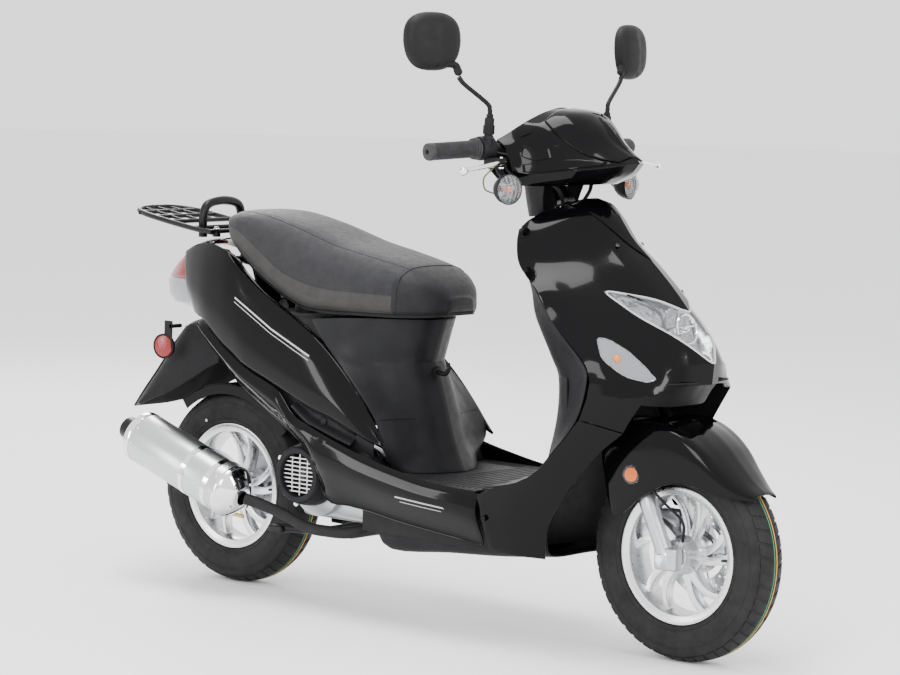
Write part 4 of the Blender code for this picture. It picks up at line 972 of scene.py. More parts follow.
def apron_signals(grids, face):
    """Ribbed signal lenses in the apron with an amber bulb behind each."""
    for side, label, _ in SIDES:
        lens = skin("signal", grids, (1, 0, .3), .0020, True, 0)
        lens = common(lens, signal_prism(0, side))
        piece("apron_signal_cover_" + label, lens, "lens_ribs", "chassis",
              "apron_signal_" + label, 24)
        outline = rounded(grown(SIGNAL_OUTLINE, -.001), .014, 3)
        strip = draped_strip(face, outline, (0, -side, 0),
                             lambda p: Vector((p[0], side * .26, p[1])), .0022, .0009, .0020)
        piece("apron_signal_rim_" + label, strip, "reflector", "chassis")
        ribs = []
        for k in range(15):
            t = (k + .5) / 15
            x_mid = -.112 + t * .100
            z_mid = .643 - .066 * t - .010 * math.sin(math.pi * t)
            reach = .021 * math.sin(math.pi * min(1, t * 1.02)) ** .8
            route = []
            for s in (-1, -.5, 0, .5, 1):
                x = x_mid + s * reach * .30
                z = z_mid + s * reach * .72
                hit, _ = face.along((x, side * .26, z), (0, -side, 0))
                if hit is not None:
                    route.append(hit + Vector((-.004, -side * .0045, 0)))
            if len(route) == 5:
                ribs.append(tube(route, .0021, 2, 8))
        piece("apron_signal_ribs_" + label, merged(*ribs), "reflector", "chassis")
        bulb = ball((-.072, side * .158, .612), .008, 16)
        piece("apron_signal_bulb_" + label, bulb, "amber_bulb", "chassis")


def apron_trim(face):
    """Raised V panel under the headset, its screw, and the lip over the wheel."""
    rows = []
    left_top, right_top = Vector((-.294, .066, .900)), Vector((-.294, -.066, .900))
    apex = Vector((-.118, 0, .777))
    for i in range(15):
        v = i / 14
        near, far = right_top.lerp(apex, v), left_top.lerp(apex, v)
        row = []
        for j in range(11):
            guess = near.lerp(far, j / 10)
            hit, normal = face.nearest(guess + Vector((.01, 0, .02)))
            lift = .0024 * min(1.0, (1 - v) * 8 + .1)
            row.append(hit + normal * lift)
        rows.append(row)
    panel = skin("vee", [rows], (1, 0, .5), .0034, False, .0008)
    piece("apron_vee_panel", panel, "gloss_black", "chassis", angle=28)
    for side in (-1, 1):
        hit, normal = face.nearest((-.188, side * .026, .805))
        piece("apron_screw_" + ("right" if side < 0 else "left"),
              cross_screw(hit + normal * .003, normal, .0042), "dark_steel", "chassis")
    under = []
    last = APRON_ROWS[-1]
    for reach, sag in ((.002, -.001), (.030, .012), (.075, .014), (.130, .006)):
        under.append([Vector(p) + Vector((-reach * (1 - .5 * k / 5), 0, sag))
                      for k, p in enumerate(last[:4])])
    liner = skin("liner", [surface(under, 4, 3)], (0, 0, -1), .002, True, 0)
    piece("apron_under_liner", liner, "satin_plastic", "chassis")


front_apron()


# ---------------------------------------------------------------- cockpit
HEADSET_ROWS = [
    [(-.345, 0, 1.092), (-.352, -.055, 1.087), (-.374, -.100, 1.064), (-.394, -.130, 1.040),
     (-.404, -.150, 1.028)],
    [(-.279, 0, 1.085), (-.292, -.055, 1.078), (-.326, -.100, 1.055), (-.366, -.130, 1.026),
     (-.386, -.151, 1.018)],
    [(-.238, 0, 1.064), (-.254, -.050, 1.052), (-.292, -.100, 1.030), (-.348, -.130, 1.008),
     (-.374, -.152, 1.002)],
    [(-.202, 0, 1.030), (-.222, -.045, 1.018), (-.264, -.098, 1.002), (-.334, -.130, .984),
     (-.366, -.152, .984)],
    [(-.152, 0, .990), (-.174, -.042, .985), (-.234, -.098, .973), (-.320, -.130, .962),
     (-.362, -.150, .966)],
    [(-.176, 0, .966), (-.198, -.042, .961), (-.258, -.095, .951), (-.336, -.128, .945),
     (-.370, -.149, .950)],
    [(-.222, 0, .944), (-.240, -.042, .942), (-.292, -.090, .938), (-.352, -.130, .936),
     (-.388, -.146, .942)],
]
HEADSET_REAR_ROWS = [
    [(-.354, 0, 1.084), (-.361, -.055, 1.079), (-.382, -.100, 1.057), (-.402, -.130, 1.034),
     (-.412, -.149, 1.022)],
    [(-.420, 0, 1.046), (-.424, -.055, 1.040), (-.432, -.100, 1.024), (-.436, -.130, 1.010),
     (-.432, -.150, 1.002)],
    [(-.446, 0, .985), (-.446, -.055, .983), (-.445, -.100, .980), (-.442, -.130, .978),
     (-.434, -.150, .978)],
    [(-.424, 0, .944), (-.423, -.055, .942), (-.420, -.095, .941), (-.412, -.130, .944),
     (-.404, -.146, .950)],
]


def swept(route, sizes, steps=6, sides=16):
    """Closed bar of elliptic section along a smooth route; sizes are (half width, half height)."""
    points = spline(route, steps)
    rings = []
    for k, point in enumerate(points):
        ahead = points[min(k + 1, len(points) - 1)] - points[max(k - 1, 0)]
        side = ahead.cross(Vector((0, 0, 1)))
        side = side.normalized() if side.length > 1e-6 else Vector((0, 1, 0))
        up = side.cross(ahead).normalized()
        where = k / (len(points) - 1) * (len(sizes) - 1)
        low = min(int(where), len(sizes) - 2)
        mix = where - low
        wide = sizes[low][0] * (1 - mix) + sizes[low + 1][0] * mix
        tall = sizes[low][1] * (1 - mix) + sizes[low + 1][1] * mix
        rings.append([point + side * wide * math.cos(2 * math.pi * j / sides)
                      + up * tall * math.sin(2 * math.pi * j / sides) for j in range(sides)])
    return loft(rings)


def raised_panel(target, corners, out, lift, thick, columns=14, rows_count=14):
    """Plate laid over a surface between two edges, each a list of points down its length."""
    near, far = (spline(edge, 6) for edge in corners)
    rows = []
    for i in range(rows_count + 1):
        v = i / rows_count * (len(near) - 1)
        a, b = near[int(round(v))], far[int(round(v))]
        row = []
        for j in range(columns + 1):
            hit, normal = target.nearest(a.lerp(b, j / columns))
            if normal.dot(Vector(out)) < 0:
                normal = -normal
            row.append(hit + normal * lift)
        rows.append(row)
    return skin("panel", [rows], out, thick, False, min(.0009, thick * .3))


def headset():
    """Headset covers with their raised panels."""
    grid = surface(HEADSET_ROWS, 6, 5, crease_cols=(2,), crease_rows=(4,))
    shell = skin("cowl", [grid], (1, 0, .3), .003, True, .0008)
    piece("headset_cowl", shell, "gloss_black", "steering", "headset_front", 22)
    face = Target(sheet_mesh("face", [grid], (1, 0, .3), True))
    edge = [(-.330, -.090, 1.068), (-.298, -.098, 1.050), (-.258, -.086, 1.020), (-.214, -.064, .998),
            (-.178, -.036, .988)]
    mirrored = [Vector(p) * LEFT for p in edge]
    shield = raised_panel(face, (edge, mirrored), (1, 0, .4), .0030, .0042, 22, 20)
    piece("headset_shield", shield, "gloss_black", "steering", angle=26)
    for side, label, flip in SIDES:
        upper = [Vector(p) * flip for p in ((-.352, -.130, 1.018), (-.330, -.124, 1.012),
                                            (-.300, -.108, 1.016))]
        lower = [Vector(p) * flip for p in ((-.350, -.136, .996), (-.322, -.130, .990),
                                            (-.290, -.112, .996))]
        piece("headset_blade_upper_" + label, raised_panel(face, (upper, lower), (1, side, .4),
                                                          .0022, .0032, 6, 10),
              "gloss_black", "steering", angle=26)
        upper = [Vector(p) * flip for p in ((-.345, -.138, .980), (-.300, -.118, .988),
                                            (-.240, -.082, .992), (-.195, -.050, .990))]
        lower = [Vector(p) * flip for p in ((-.342, -.138, .964), (-.300, -.122, .967),
                                            (-.240, -.096, .976), (-.197, -.060, .983))]
        piece("headset_blade_lower_" + label, raised_panel(face, (upper, lower), (1, side, .2),
                                                          .0022, .0032, 6, 14),
              "gloss_black", "steering", angle=26)
    rear = skin("cowl", [surface(HEADSET_REAR_ROWS, 5, 5)], (-1, 0, .3), .003, True, .0008)
    piece("headset_rear_cowl", rear, "satin_plastic", "steering", "headset_rear", 24)
    instrument_panel()
    neck_cover()


def instrument_panel():
    """Round speedometer with its bezel, pod and warning lamps, on the rider's side."""
    centre = Vector((-.389, 0, 1.0655))
    out = Vector((-.50, 0, .865)).normalized()
    bezel = turned([(.0400, -.006), (.0440, -.004), (.0450, .004), (.0430, .0075), (.0400, .0070),
                    (.0385, .004)], 48, about(centre, out))
    piece("speedometer_bezel", bezel, "gloss_black", "steering")
    dial = turned([(0, .0015), (.0392, .0015), (.0392, .0), (0, .0)], 48, about(centre, out))
    piece("speedometer_dial", dial, "matte_black", "steering")
    glass = turned([(0, .0066), (.018, .0064), (.034, .0052), (.0400, .0038), (.0400, .0028), (0, .0046)],
                   48, about(centre, out))
    piece("speedometer_glass", glass, "clear_lens", "steering")
    place = about(centre, out)
    ticks = []
    for k in range(25):
        a = math.radians(-130 + k * 260 / 24)
        reach = .0300 if k % 4 else .0275
        tick = block((reach, -.0004 if k % 4 else -.0008, .0014), (.0365, .0004 if k % 4 else .0008, .0019))
        tick.data.transform(place @ Matrix.Rotation(a, 4, "Z"))
        ticks.append(tick)
    piece("speedometer_ticks", merged(*ticks), "white_paint", "steering")
    needle = block((-.006, -.0008, .0022), (.0290, .0008, .0030))
    needle.data.transform(place @ Matrix.Rotation(math.radians(-125), 4, "Z"))
    hub = turned([(0, .0040), (.0040, .0036), (.0046, .0016), (0, .0016)], 20, place)
    piece("speedometer_needle", merged(needle, hub), "red_lens", "steering")
    lamps = []
    for k, y in enumerate((-.066, -.055, .055, .066)):
        point = Vector((-.396, y, 1.0585 - .004 * (k in (0, 3))))
        lamps.append(turned([(0, .0035), (.0026, .003), (.0034, 0), (0, -.004)], 16, about(point, out)))
    piece("warning_lamps", merged(*lamps), "amber", "steering")


def neck_cover():
    """Grey shroud round the column between the headset and the apron, and the stem nut."""
    rows = [[(-.436, 0, .938), (-.428, -.030, .938), (-.392, -.060, .938), (-.345, -.066, .938)],
            [(-.432, 0, .905), (-.422, -.030, .906), (-.384, -.058, .908), (-.352, -.060, .910)],
            [(-.424, 0, .866), (-.414, -.028, .867), (-.378, -.052, .872), (-.356, -.052, .882)]]
    piece("neck_shroud", skin("neck", [surface(rows, 5, 4)], (-1, 0, 0), .0025), "satin_plastic",
          "steering")
    for low, high, radius, sides, mat in ((.872, .884, .0235, 6, "chrome"),
                                          (.8865, .893, .0225, 32, "chrome"),
                                          (.8950, .9040, .0230, 6, "dark_steel")):
        nut = rod((steer_x(low), 0, low), (steer_x(high), 0, high), radius, sides, None, .0012)
        piece("stem_nut_%d" % round(low * 10000), nut, mat, "steering")
    for side, label, flip in SIDES:
        loom = tube([Vector(p) * flip for p in ((-.330, -.070, .948), (-.318, -.050, .925),
                                                (-.322, -.032, .900), (-.334, -.024, .872))],
                    .0042, 6, 12)
        piece("neck_cable_" + label, loom, "matte_black", "steering")


def grips():
    """Ribbed grips."""
    along = (BAR_END - BAR_INNER).normalized()
    for side, label, flip in SIDES:
        start = (BAR_INNER + along * .004) * flip
        direction = along * flip
        length = (BAR_END - BAR_INNER).length + .002
        profile = [(.0114, 0), (.0225, 0), (.0228, .0016), (.0226, .0034), (.0205, .0042),
                   (.0203, .0062), (.0216, .0070), (.0216, .0094), (.0186, .0102), (.0184, .0130)]
        ridges = 27
        for k in range(ridges):
            h = .0140 + (length - .0290) * k / ridges
            step = (length - .0290) / ridges
            profile += [(.0160, h), (.0176, h + .25 * step), (.0176, h + .62 * step),
                        (.0160, h + .85 * step)]
        profile += [(.0178, length - .0135), (.0182, length - .0060), (.0172, length - .0015),
                    (.0140, length), (.0062, length), (.0056, length - .0020), (.0040, length - .0022),
                    (.0040, length - .0060), (.0114, length - .0060)]
        made = turned(profile, 36, about(start, direction))
        if side < 0:
            piece("throttle_sleeve", made, "rubber", "throttle", "throttle_grip", 40)
        else:
            piece("left_grip_sleeve", made, "rubber", "steering", "left_grip", 40)


def bars():
    """Handlebar tube."""
    bar_z = .9620 + .0004 + .011
    straight_end = BAR_INNER + (BAR_INNER - BAR_END).normalized() * .042
    route = [BAR_END.copy()] + spline([straight_end, (-.392, -.115, 1.004), (-.380, -.070, bar_z + .010),
                                       (-.371, -.030, bar_z)], 6)
    route += [p * LEFT for p in reversed(route)]
    piece("bar_tube", tube(route, .0110, 1, 24), "black_paint", "steering", "handlebar")


def switch_gear():
    """Switch housings, start button and switches."""
    along = (BAR_END - BAR_INNER).normalized()
    for side, label, flip in SIDES:
        axis = along * flip
        start = (BAR_INNER - along * .033) * flip
        profile = [(.0115, 0), (.0215, 0), (.0240, .0015), (.0246, .0040), (.0246, .0150), (.0240, .0156),
                   (.0240, .0170), (.0246, .0176), (.0246, .0300), (.0238, .0325), (.0215, .0334),
                   (.0115, .0334)]
        barrel = turned(profile, 48, about(start, axis))
        perch = block((-.402, side * .1795 - .013, .9745), (-.360, side * .1795 + .013, .9925), .003,
                      None, 3)
        boss = rod((-.392, side * .190, 1.016), (-.392, side * .190, 1.0395), .0100, 28, .0088, .0010)
        collar = rod((-.392, side * .190, 1.030), (-.392, side * .190, 1.0365), .0112, 6)
        jaws = cut(perch, block((-.3845, side * .172 - .020, .9806), (-.3300, side * .172 + .020, .9872)))
        body = merged(barrel, jaws, boss, collar)
        piece("switch_body_" + label, body, "satin_plastic", "steering", "switch_housing_" + label)
        pin = rod((-.372, side * .172, .9735), (-.372, side * .172, .9945), .0040, 20, None, .0006)
        nut = rod((-.372, side * .172, .9705), (-.372, side * .172, .9740), .0062, 6, None, .0004)
        piece("lever_pin_" + label, merged(pin, nut), "chrome", "steering")
        adjuster = rod((-.386, side * .158, .986), (-.386, side * .142, .984), .0042, 6, .0036)
        barrel_nut = rod((-.386, side * .150, .985), (-.386, side * .146, .9846), .0060, 16, None, .0004)
        piece("cable_adjuster_" + label, merged(adjuster, barrel_nut), "brass_zinc", "steering")
        screws = [cross_screw((-.4345, side * (.176 + .010 * k), 1.004 - .001 * k), (-1, 0, -.2), .0026)
                  for k in (0, 1)]
        piece("switch_screws_" + label, merged(*screws), "dark_steel", "steering")
        rocker = block((-.4350, side * .176 - .004, 1.012), (-.4270, side * .176 + .004, 1.0230), .0012,
                       Matrix.Rotation(.5, 4, "Y"))
        if side > 0:
            piece("indicator_rocker", rocker, "silver_paint", "steering")
        else:
            bpy.data.objects.remove(rocker, do_unlink=True)
    at = Vector((-.4365, -.182, 1.016))
    button = turned([(0, .0045), (.0048, .0044), (.0059, .0036), (.0062, .0022), (.0062, -.0075),
                     (0, -.0075)],
                    28, about(at, (-1, 0, 0)))
    piece("start_button_cap", button, "red_lens", "start_switch", "start_button")


def levers():
    """Brake levers with their pivot eyes."""
    for side, label, flip in SIDES:
        route = [Vector(p) * flip for p in ((-.372, -.172, .984), (-.353, -.192, .984),
                                            (-.341, -.222, .983), (-.338, -.262, .979),
                                            (-.344, -.308, .972))]
        blade = swept(route, [(.0078, .0028), (.0072, .0030), (.0066, .0052), (.0056, .0050),
                              (.0046, .0044)], 6, 18)
        knob = ball((-.347, side * .316, .970), .0088, 24)
        eye = rod((-.372, side * .172, .9813), (-.372, side * .172, .9867), .0086, 28, None, .0006)
        heel = swept([Vector(p) * flip for p in ((-.372, -.172, .984), (-.378, -.160, .984),
                                                 (-.384, -.152, .985))],
                     [(.0060, .0026), (.0050, .0026), (.0042, .0026)], 4, 14)
        body = "right_lever" if side < 0 else "left_lever"
        piece("brake_blade_" + label, merged(blade, knob, eye, heel), "chrome", body,
              "brake_lever_" + label)


INDICATOR_AT = (-.331, .196, .9320)


def bar_indicators():
    """Round indicators under the headset, with wires and lever cables."""
    for side, label, flip in SIDES:
        out = Vector((math.cos(.25), side * math.sin(.25), 0))
        x, y, z = INDICATOR_AT
        at = about((x, side * y, z), out)
        shell = turned([(0, -.0300), (.0090, -.0296), (.0160, -.0278), (.0235, -.0200), (.0285, -.0100),
                        (.0306, -.0010), (.0312, .0020), (.0312, .0042), (.0296, .0044), (.0292, .0012),
                        (.0270, -.0100), (.0215, -.0190), (.0120, -.0255), (0, -.0270)], 48, at)
        arm = swept([(-.340, side * .186, z + .014), (-.356, side * .180, z + .022),
                     (-.374, side * .172, .9640), (-.380, side * .172, .9770)],
                    [(.0062, .0062), (.0068, .0060), (.0075, .0065), (.0085, .0070)], 5, 16)
        piece("indicator_shell_" + label, merged(shell, arm), "satin_plastic", "steering",
              "indicator_" + label)
        bowl = turned([(.0288, .0030), (.0272, -.0030), (.0220, -.0120), (.0130, -.0190), (.0060, -.0205),
                       (.0060, -.0215), (.0135, -.0200), (.0228, -.0128), (.0280, -.0034), (.0292, .0030)],
                      12, at)
        piece("indicator_reflector_" + label, bowl, "reflector", "steering", angle=10)
        bulb = turned([(0, .0075), (.0048, .0060), (.0070, .0015), (.0070, -.0030), (.0046, -.0100),
                       (.0046, -.0190), (0, -.0190)], 24, at)
        piece("indicator_bulb_" + label, bulb, "amber_bulb", "steering")
        lens = turned([(.0302, .0020), (.0300, .0060), (.0270, .0112), (.0200, .0165), (.0100, .0196),
                       (0, .0205), (0, .0190), (.0095, .0182), (.0190, .0152), (.0258, .0102),
                       (.0286, .0052), (.0288, .0020)], 48, at)
        piece("indicator_lens_" + label, lens, "clear_lens", "steering")
        bars_made = []
        for k in range(5):
            w = -.020 + .010 * k
            reach = math.sqrt(max(.0255 ** 2 - w * w, 0))
            bar = tube([(w, -reach, .0040), (w, -reach * .5, .0105), (w, 0, .0130), (w, reach * .5, .0105),
                        (w, reach, .0040)], .0011, 3, 8)
            bar.data.transform(at)
            bars_made.append(bar)
        piece("indicator_prisms_" + label, merged(*bars_made), "lens_ribs", "steering")
        wire = tube([Vector(p) * flip for p in ((-.380, -.186, .972), (-.392, -.200, .952),
                                                (-.384, -.206, .930), (-.366, -.200, .922))],
                    .0017, 8, 10)
        piece("indicator_wire_" + label, wire, "olive_wire", "steering")
        hose = tube([Vector(p) * flip for p in ((-.384, -.156, .985), (-.366, -.150, .962),
                                                (-.344, -.120, .944), (-.335, -.080, .940))],
                    .0026, 8, 12)
        piece("lever_cable_" + label, hose, "matte_black", "steering")


def mirror_frame(side):
    """Ball, centre and three directions of one mirror."""
    flip = LEFT if side > 0 else RIGHT
    tip = MIRROR_BALL * flip
    facing = Vector((-math.cos(MIRROR_TOE), -side * math.sin(MIRROR_TOE), -.06)).normalized()
    centre = tip + Vector((-.020, -.0545, .060) if side < 0 else (-.016, .0545, .041))
    sideways = Vector((0, 0, 1)).cross(facing).normalized()
    return tip, centre, facing, sideways, facing.cross(sideways)


def mirrors():
    """Mirror stalks, cases and glass."""
    for side, label, flip in SIDES:
        base = MIRROR_BASE * flip
        tip, centre, facing, sideways, upward = mirror_frame(side)
        boot = turned([(0, -.0005), (.0112, -.0005), (.0120, .0020), (.0118, .0175), (.0100, .0190),
                       (.0098, .0300), (.0088, .0330), (.0060, .0345), (0, .0345)], 32,
                      about(base, (.05, 0, 1)))
        nut = rod(base + Vector((.0018, 0, .033)), base + Vector((.0021, 0, .0400)), .0072, 6, None, .0005)
        stalk = swept([base + Vector((.002, 0, .030)), base + Vector((.0025, side * .001, .048)),
                       base + Vector((.000, -side * -.008, .062)),
                       tip + Vector((.007, -side * .014, -.026)), tip + Vector((.002, 0, -.0112))],
                      [(.0050, .0050), (.0050, .0050), (.0047, .0047), (.0046, .0046), (.0052, .0052)], 8, 16)
        piece("mirror_stalk_" + label, merged(boot, nut, stalk), "matte_black", label + "_mirror_stem",
              "mirror_stem_" + label)
        rings = []
        count = 48
        for scale, depth in ((1.0, .0115), (1.012, .0060), (1.0, .0010), (.975, -.0035), (.92, -.0085),
                             (.82, -.0135), (.66, -.0172), (.44, -.0195), (.20, -.0205)):
            ring = []
            for k in range(count):
                a = 2 * math.pi * k / count
                u = math.copysign(abs(math.cos(a)) ** .74, math.cos(a)) * .0650 * scale
                v = math.copysign(abs(math.sin(a)) ** .74, math.sin(a)) * .0577 * scale
                narrow = 1 - .10 * max(0.0, -v / .058)
                ridge = .0022 * max(0.0, 1 - abs(u - side * .012) / .018) * (depth < 0)
                ring.append(centre + sideways * u * narrow + upward * v + facing * (depth - ridge))
            rings.append(ring)
        work_shell = loft(rings)
        neck = swept([tip, tip + Vector((-.004, side * .010, .014)),
                      centre + upward * -.046 + sideways * .0 - facing * .004],
                     [(.0085, .0085), (.0090, .0075), (.0130, .0080)], 6, 16)
        socket = ball(tip, .0086, 22)
        piece("mirror_case_" + label, merged(work_shell, neck, socket), "matte_black",
              label + "_mirror_head", "mirror_head_" + label)
        ring = []
        for k in range(count):
            a = 2 * math.pi * k / count
            u = math.copysign(abs(math.cos(a)) ** .74, math.cos(a)) * .0610
            v = math.copysign(abs(math.sin(a)) ** .74, math.sin(a)) * .0537
            narrow = 1 - .10 * max(0.0, -v / .058)
            ring.append((u * narrow, v))
        rings = [[centre + sideways * u * s + upward * v * s + facing * d for u, v in ring]
                 for s, d in ((1.0, .0100), (1.0, .0121), (.985, .0124))]
        piece("mirror_glass_" + label, loft(rings), "mirror_glass", label + "_mirror_head")


headset()
bars()
grips()
switch_gear()
levers()
bar_indicators()
mirrors()


# ---------------------------------------------------------------- lower covers
LEG_SHIELD_ROWS = [
    [(-.378, 0, .872), (-.375, -.055, .868), (-.362, -.110, .856), (-.346, -.143, .846)],
    [(-.372, 0, .800), (-.368, -.060, .798), (-.348, -.120, .794), (-.320, -.160, .788)],
    [(-.360, 0, .735), (-.352, -.060, .733), (-.322, -.125, .730), (-.256, -.188, .729)],
    [(-.342, 0, .665), (-.332, -.060, .665), (-.312, -.120, .672), (-.200, -.192, .662)],
    [(-.330, 0, .600), (-.318, -.055, .600), (-.262, -.125, .600), (-.130, -.193, .598)],
    [(-.318, 0, .550), (-.301, -.055, .550), (-.231, -.125, .548), (-.121, -.193, .560)],
    [(-.316, 0, .480), (-.300, -.055, .480), (-.236, -.125, .478), (-.144, -.193, .486)],
    [(-.330, 0, .410), (-.314, -.055, .410), (-.256, -.125, .412), (-.200, -.192, .418)],
    [(-.350, 0, .358), (-.334, -.055, .358), (-.290, -.125, .357), (-.268, -.192, .354)],
    [(-.400, 0, .328), (-.392, -.055, .328), (-.384, -.125, .326), (-.386, -.188, .322)],
]


def lower_apron():
    """The part of the apron below the seam, which runs down to the skirt."""
    rows = [list(row) for row in APRON_SIDE_ROWS]
    rows[1] = [tuple(Vector(p) + Vector((-.0012, 0, -.0025))) for p in APRON_SEAM]
    shell = skin("lower", [surface(rows[1:], 5, 5)], (1, 0, .3), .003, True, .0007)
    piece("lower_apron", shell, "gloss_black", "chassis")
    liner_rows = []
    for x, z, half in ((-.204, .560, .146), (-.204, .470, .146), (-.228, .380, .146),
                       (-.250, .290, .142), (-.270, .190, .132)):
        liner_rows.append([(x - .085, 0, z), (x - .064, -half * .6, z), (x, -half, z)])
    piece("apron_liner", skin("liner", [surface(liner_rows, 4, 4)], (1, 0, 0), .002, True, 0),
          "matte_black", "chassis")
    plugs = []
    for side in (-1, 1):
        plugs.append(turned([(0, .0012), (.0050, .0010), (.0062, 0), (.0062, -.004)], 24,
                            about((-.371, side * .1992, .262), (0, side, 0))))
    piece("skirt_screw_caps", merged(*plugs), "gloss_black", "chassis")


def leg_shield():
    """Rider's side of the apron, with the key surround and bag hook."""
    shell = skin("shield", [surface(LEG_SHIELD_ROWS, 5, 5)], (-1, 0, .2), .003, True, .0009)
    piece("leg_shield", shell, "satin_plastic", "chassis", "inner_leg_shield")
    ring = turned([(.0120, .0005), (.0150, .0016), (.0172, .0002), (.0175, -.006), (.0120, -.006)], 40,
                  about((-.3705, -.060, .790), (-1, 0, .05)))
    piece("key_surround", ring, "chrome", "chassis")
    hook = swept([(-.372, 0, .700), (-.398, 0, .694), (-.406, 0, .706), (-.404, 0, .722)],
                 [(.006, .006), (.006, .006), (.0055, .0055), (.0045, .0045)], 6, 16)
    piece("bag_hook", hook, "matte_black", "chassis")


SKIRT_STATIONS = [  # x, top y, top z, low y, low z
    (-.389, .198, .309, .175, .203), (-.444, .202, .3155, .170, .206),
    (-.534, .203, .322, .168, .213), (-.626, .203, .337, .168, .222),
    (-.700, .203, .352, .168, .232), (-.767, .202, .370, .168, .238),
    (-.835, .199, .390, .165, .244), (-.872, .196, .402, .170, .322),
    (-.918, .192, .420, .170, .364), (-.965, .186, .462, .166, .386),
    (-1.010, .180, .480, .160, .406), (-1.060, .174, .496, .155, .432),
    (-1.110, .168, .516, .148, .458), (-1.170, .158, .546, .139, .500),
    (-1.235, .143, .583, .127, .543), (-1.262, .132, .590, .122, .572),
]

SKIRT_STRIPES = (((-.470, .270), (-.610, .278), .0032), ((-.480, .2625), (-.600, .2690), .0014))
STRIPE_SLANT = .004
STRIPE_LIFT = .0003
STRIPE_THICK = .0006
OUTSIDE_Y = .26                  # beyond every cover, where rays onto the sides start


def side_skirts():
    """Side skirts with plain stripes."""
    for side, label, _ in SIDES:
        rows = []
        for x, top_y, top_z, low_y, low_z in SKIRT_STATIONS:
            rows.append([(x, side * (top_y - .006), top_z), (x, side * (top_y + .0006), top_z - .008),
                         (x, side * (top_y + .0040), .6 * top_z + .4 * low_z),
                         (x, side * (low_y + .0010), .1 * top_z + .9 * low_z),
                         (x, side * low_y, low_z)])
        shell = skin("skirt", [surface(rows, 4, 4, (1,))], (0, side, 0), .003, False, .0009)
        face = face_of(shell)
        piece("skirt_" + label, shell, "gloss_black", "chassis", "side_skirt_" + label)
        for number, (start, end, tall) in enumerate(SKIRT_STRIPES):
            low = [Vector(start).lerp(Vector(end), i / 16) for i in range(17)]
            first, last = (start[0] - STRIPE_SLANT, start[1] + tall), (end[0] + STRIPE_SLANT, end[1] + tall)
            high = [Vector(first).lerp(Vector(last), i / 16) for i in range(17)]
            painted_stripe("skirt_stripe_%d_%s" % (number, label), face, side, (low, high))


BODY_STATIONS = [  # x, top y, top z, bottom y, bottom z, how far the bottom leads the top
    (-.668, .176, .384, .182, .372, 0), (-.705, .175, .432, .188, .385, 0),
    (-.755, .173, .487, .190, .404, 0), (-.810, .170, .537, .189, .424, 0),
    (-.870, .166, .580, .188, .440, 0), (-.940, .160, .616, .184, .464, 0),
    (-1.010, .155, .648, .178, .4875, 0), (-1.080, .150, .684, .171, .510, 0),
    (-1.130, .146, .716, .163, .534, 0), (-1.175, .138, .748, .155, .556, 0),
    (-1.240, .122, .761, .142, .592, .006), (-1.300, .106, .752, .121, .602, .018),
    (-1.342, .092, .737, .104, .612, .034),
]
BODY_STRIPE = ((-.880, .545), (-1.000, .592), (-1.120, .650))


def rear_body():
    """Rear body panels with plain stripes."""
    for side, label, _ in SIDES:
        rows = []
        for x, top_y, top_z, low_y, low_z, lead in BODY_STATIONS:
            bulge = .010 * min(1.0, (top_z - low_z) / .12)
            rows.append([(x, side * (top_y - .004), top_z), (x, side * (top_y + .0015), top_z - .006),
                         (x + .33 * lead, side * ((2 * top_y + low_y) / 3 + bulge), (2 * top_z + low_z) / 3),
                         (x + .66 * lead, side * ((top_y + 2 * low_y) / 3 + bulge), (top_z + 2 * low_z) / 3),
                         (x + lead, side * (low_y + .0006), low_z + .006),
                         (x + lead, side * (low_y - .003), low_z)])
        shell = skin("panel", [surface(rows, 4, 4)], (0, side, 0), .003, False, .0008)
        face = face_of(shell)
        piece("rear_panel_" + label, shell, "gloss_black", "chassis", "rear_body_" + label)
        for number, (drop, tall) in enumerate(((0, .0034), (-.0080, .0015))):
            low = []
            for i in range(33):
                span = min(int(i / 16), 1)
                first, last = BODY_STRIPE[span], BODY_STRIPE[span + 1]
                t = i / 16 - span
                low.append((first[0] + (last[0] - first[0]) * t,
                            first[1] + (last[1] - first[1]) * t + drop))
            high = [(x, z + tall) for x, z in low]
            painted_stripe("body_stripe_%d_%s" % (number, label), face, side, (low, high))


def lower_side_panels():
    """Grey panels under the rear body, with their round plugs."""
    for side, label, _ in SIDES:
        rows = []
        for x, top_z, low_z in ((-.750, .397, .371), (-.790, .411, .381), (-.820, .422, .390),
                                (-.850, .430, .399), (-.880, .438, .409), (-.922, .455, .438)):
            dip = .004 * max(0, 1 - ((x + .835) / .06) ** 2)
            rows.append([(x, side * .1765, top_z), (x, side * (.170 - dip), (top_z + low_z) / 2),
                         (x, side * .1885, low_z)])
        shell = skin("side", [surface(rows, 5, 4)], (0, side, 0), .003, False, .0008)
        piece("side_panel_" + label, shell, "satin_plastic", "chassis", "lower_side_panel_" + label)
        plug = turned([(0, .0034), (.0075, .0030), (.0098, .0014), (.0100, -.004)], 28,
                      about((-.843, side * .1705, .4120), (0, side, .2)))
        piece("side_panel_plug_" + label, plug, "matte_black", "chassis")


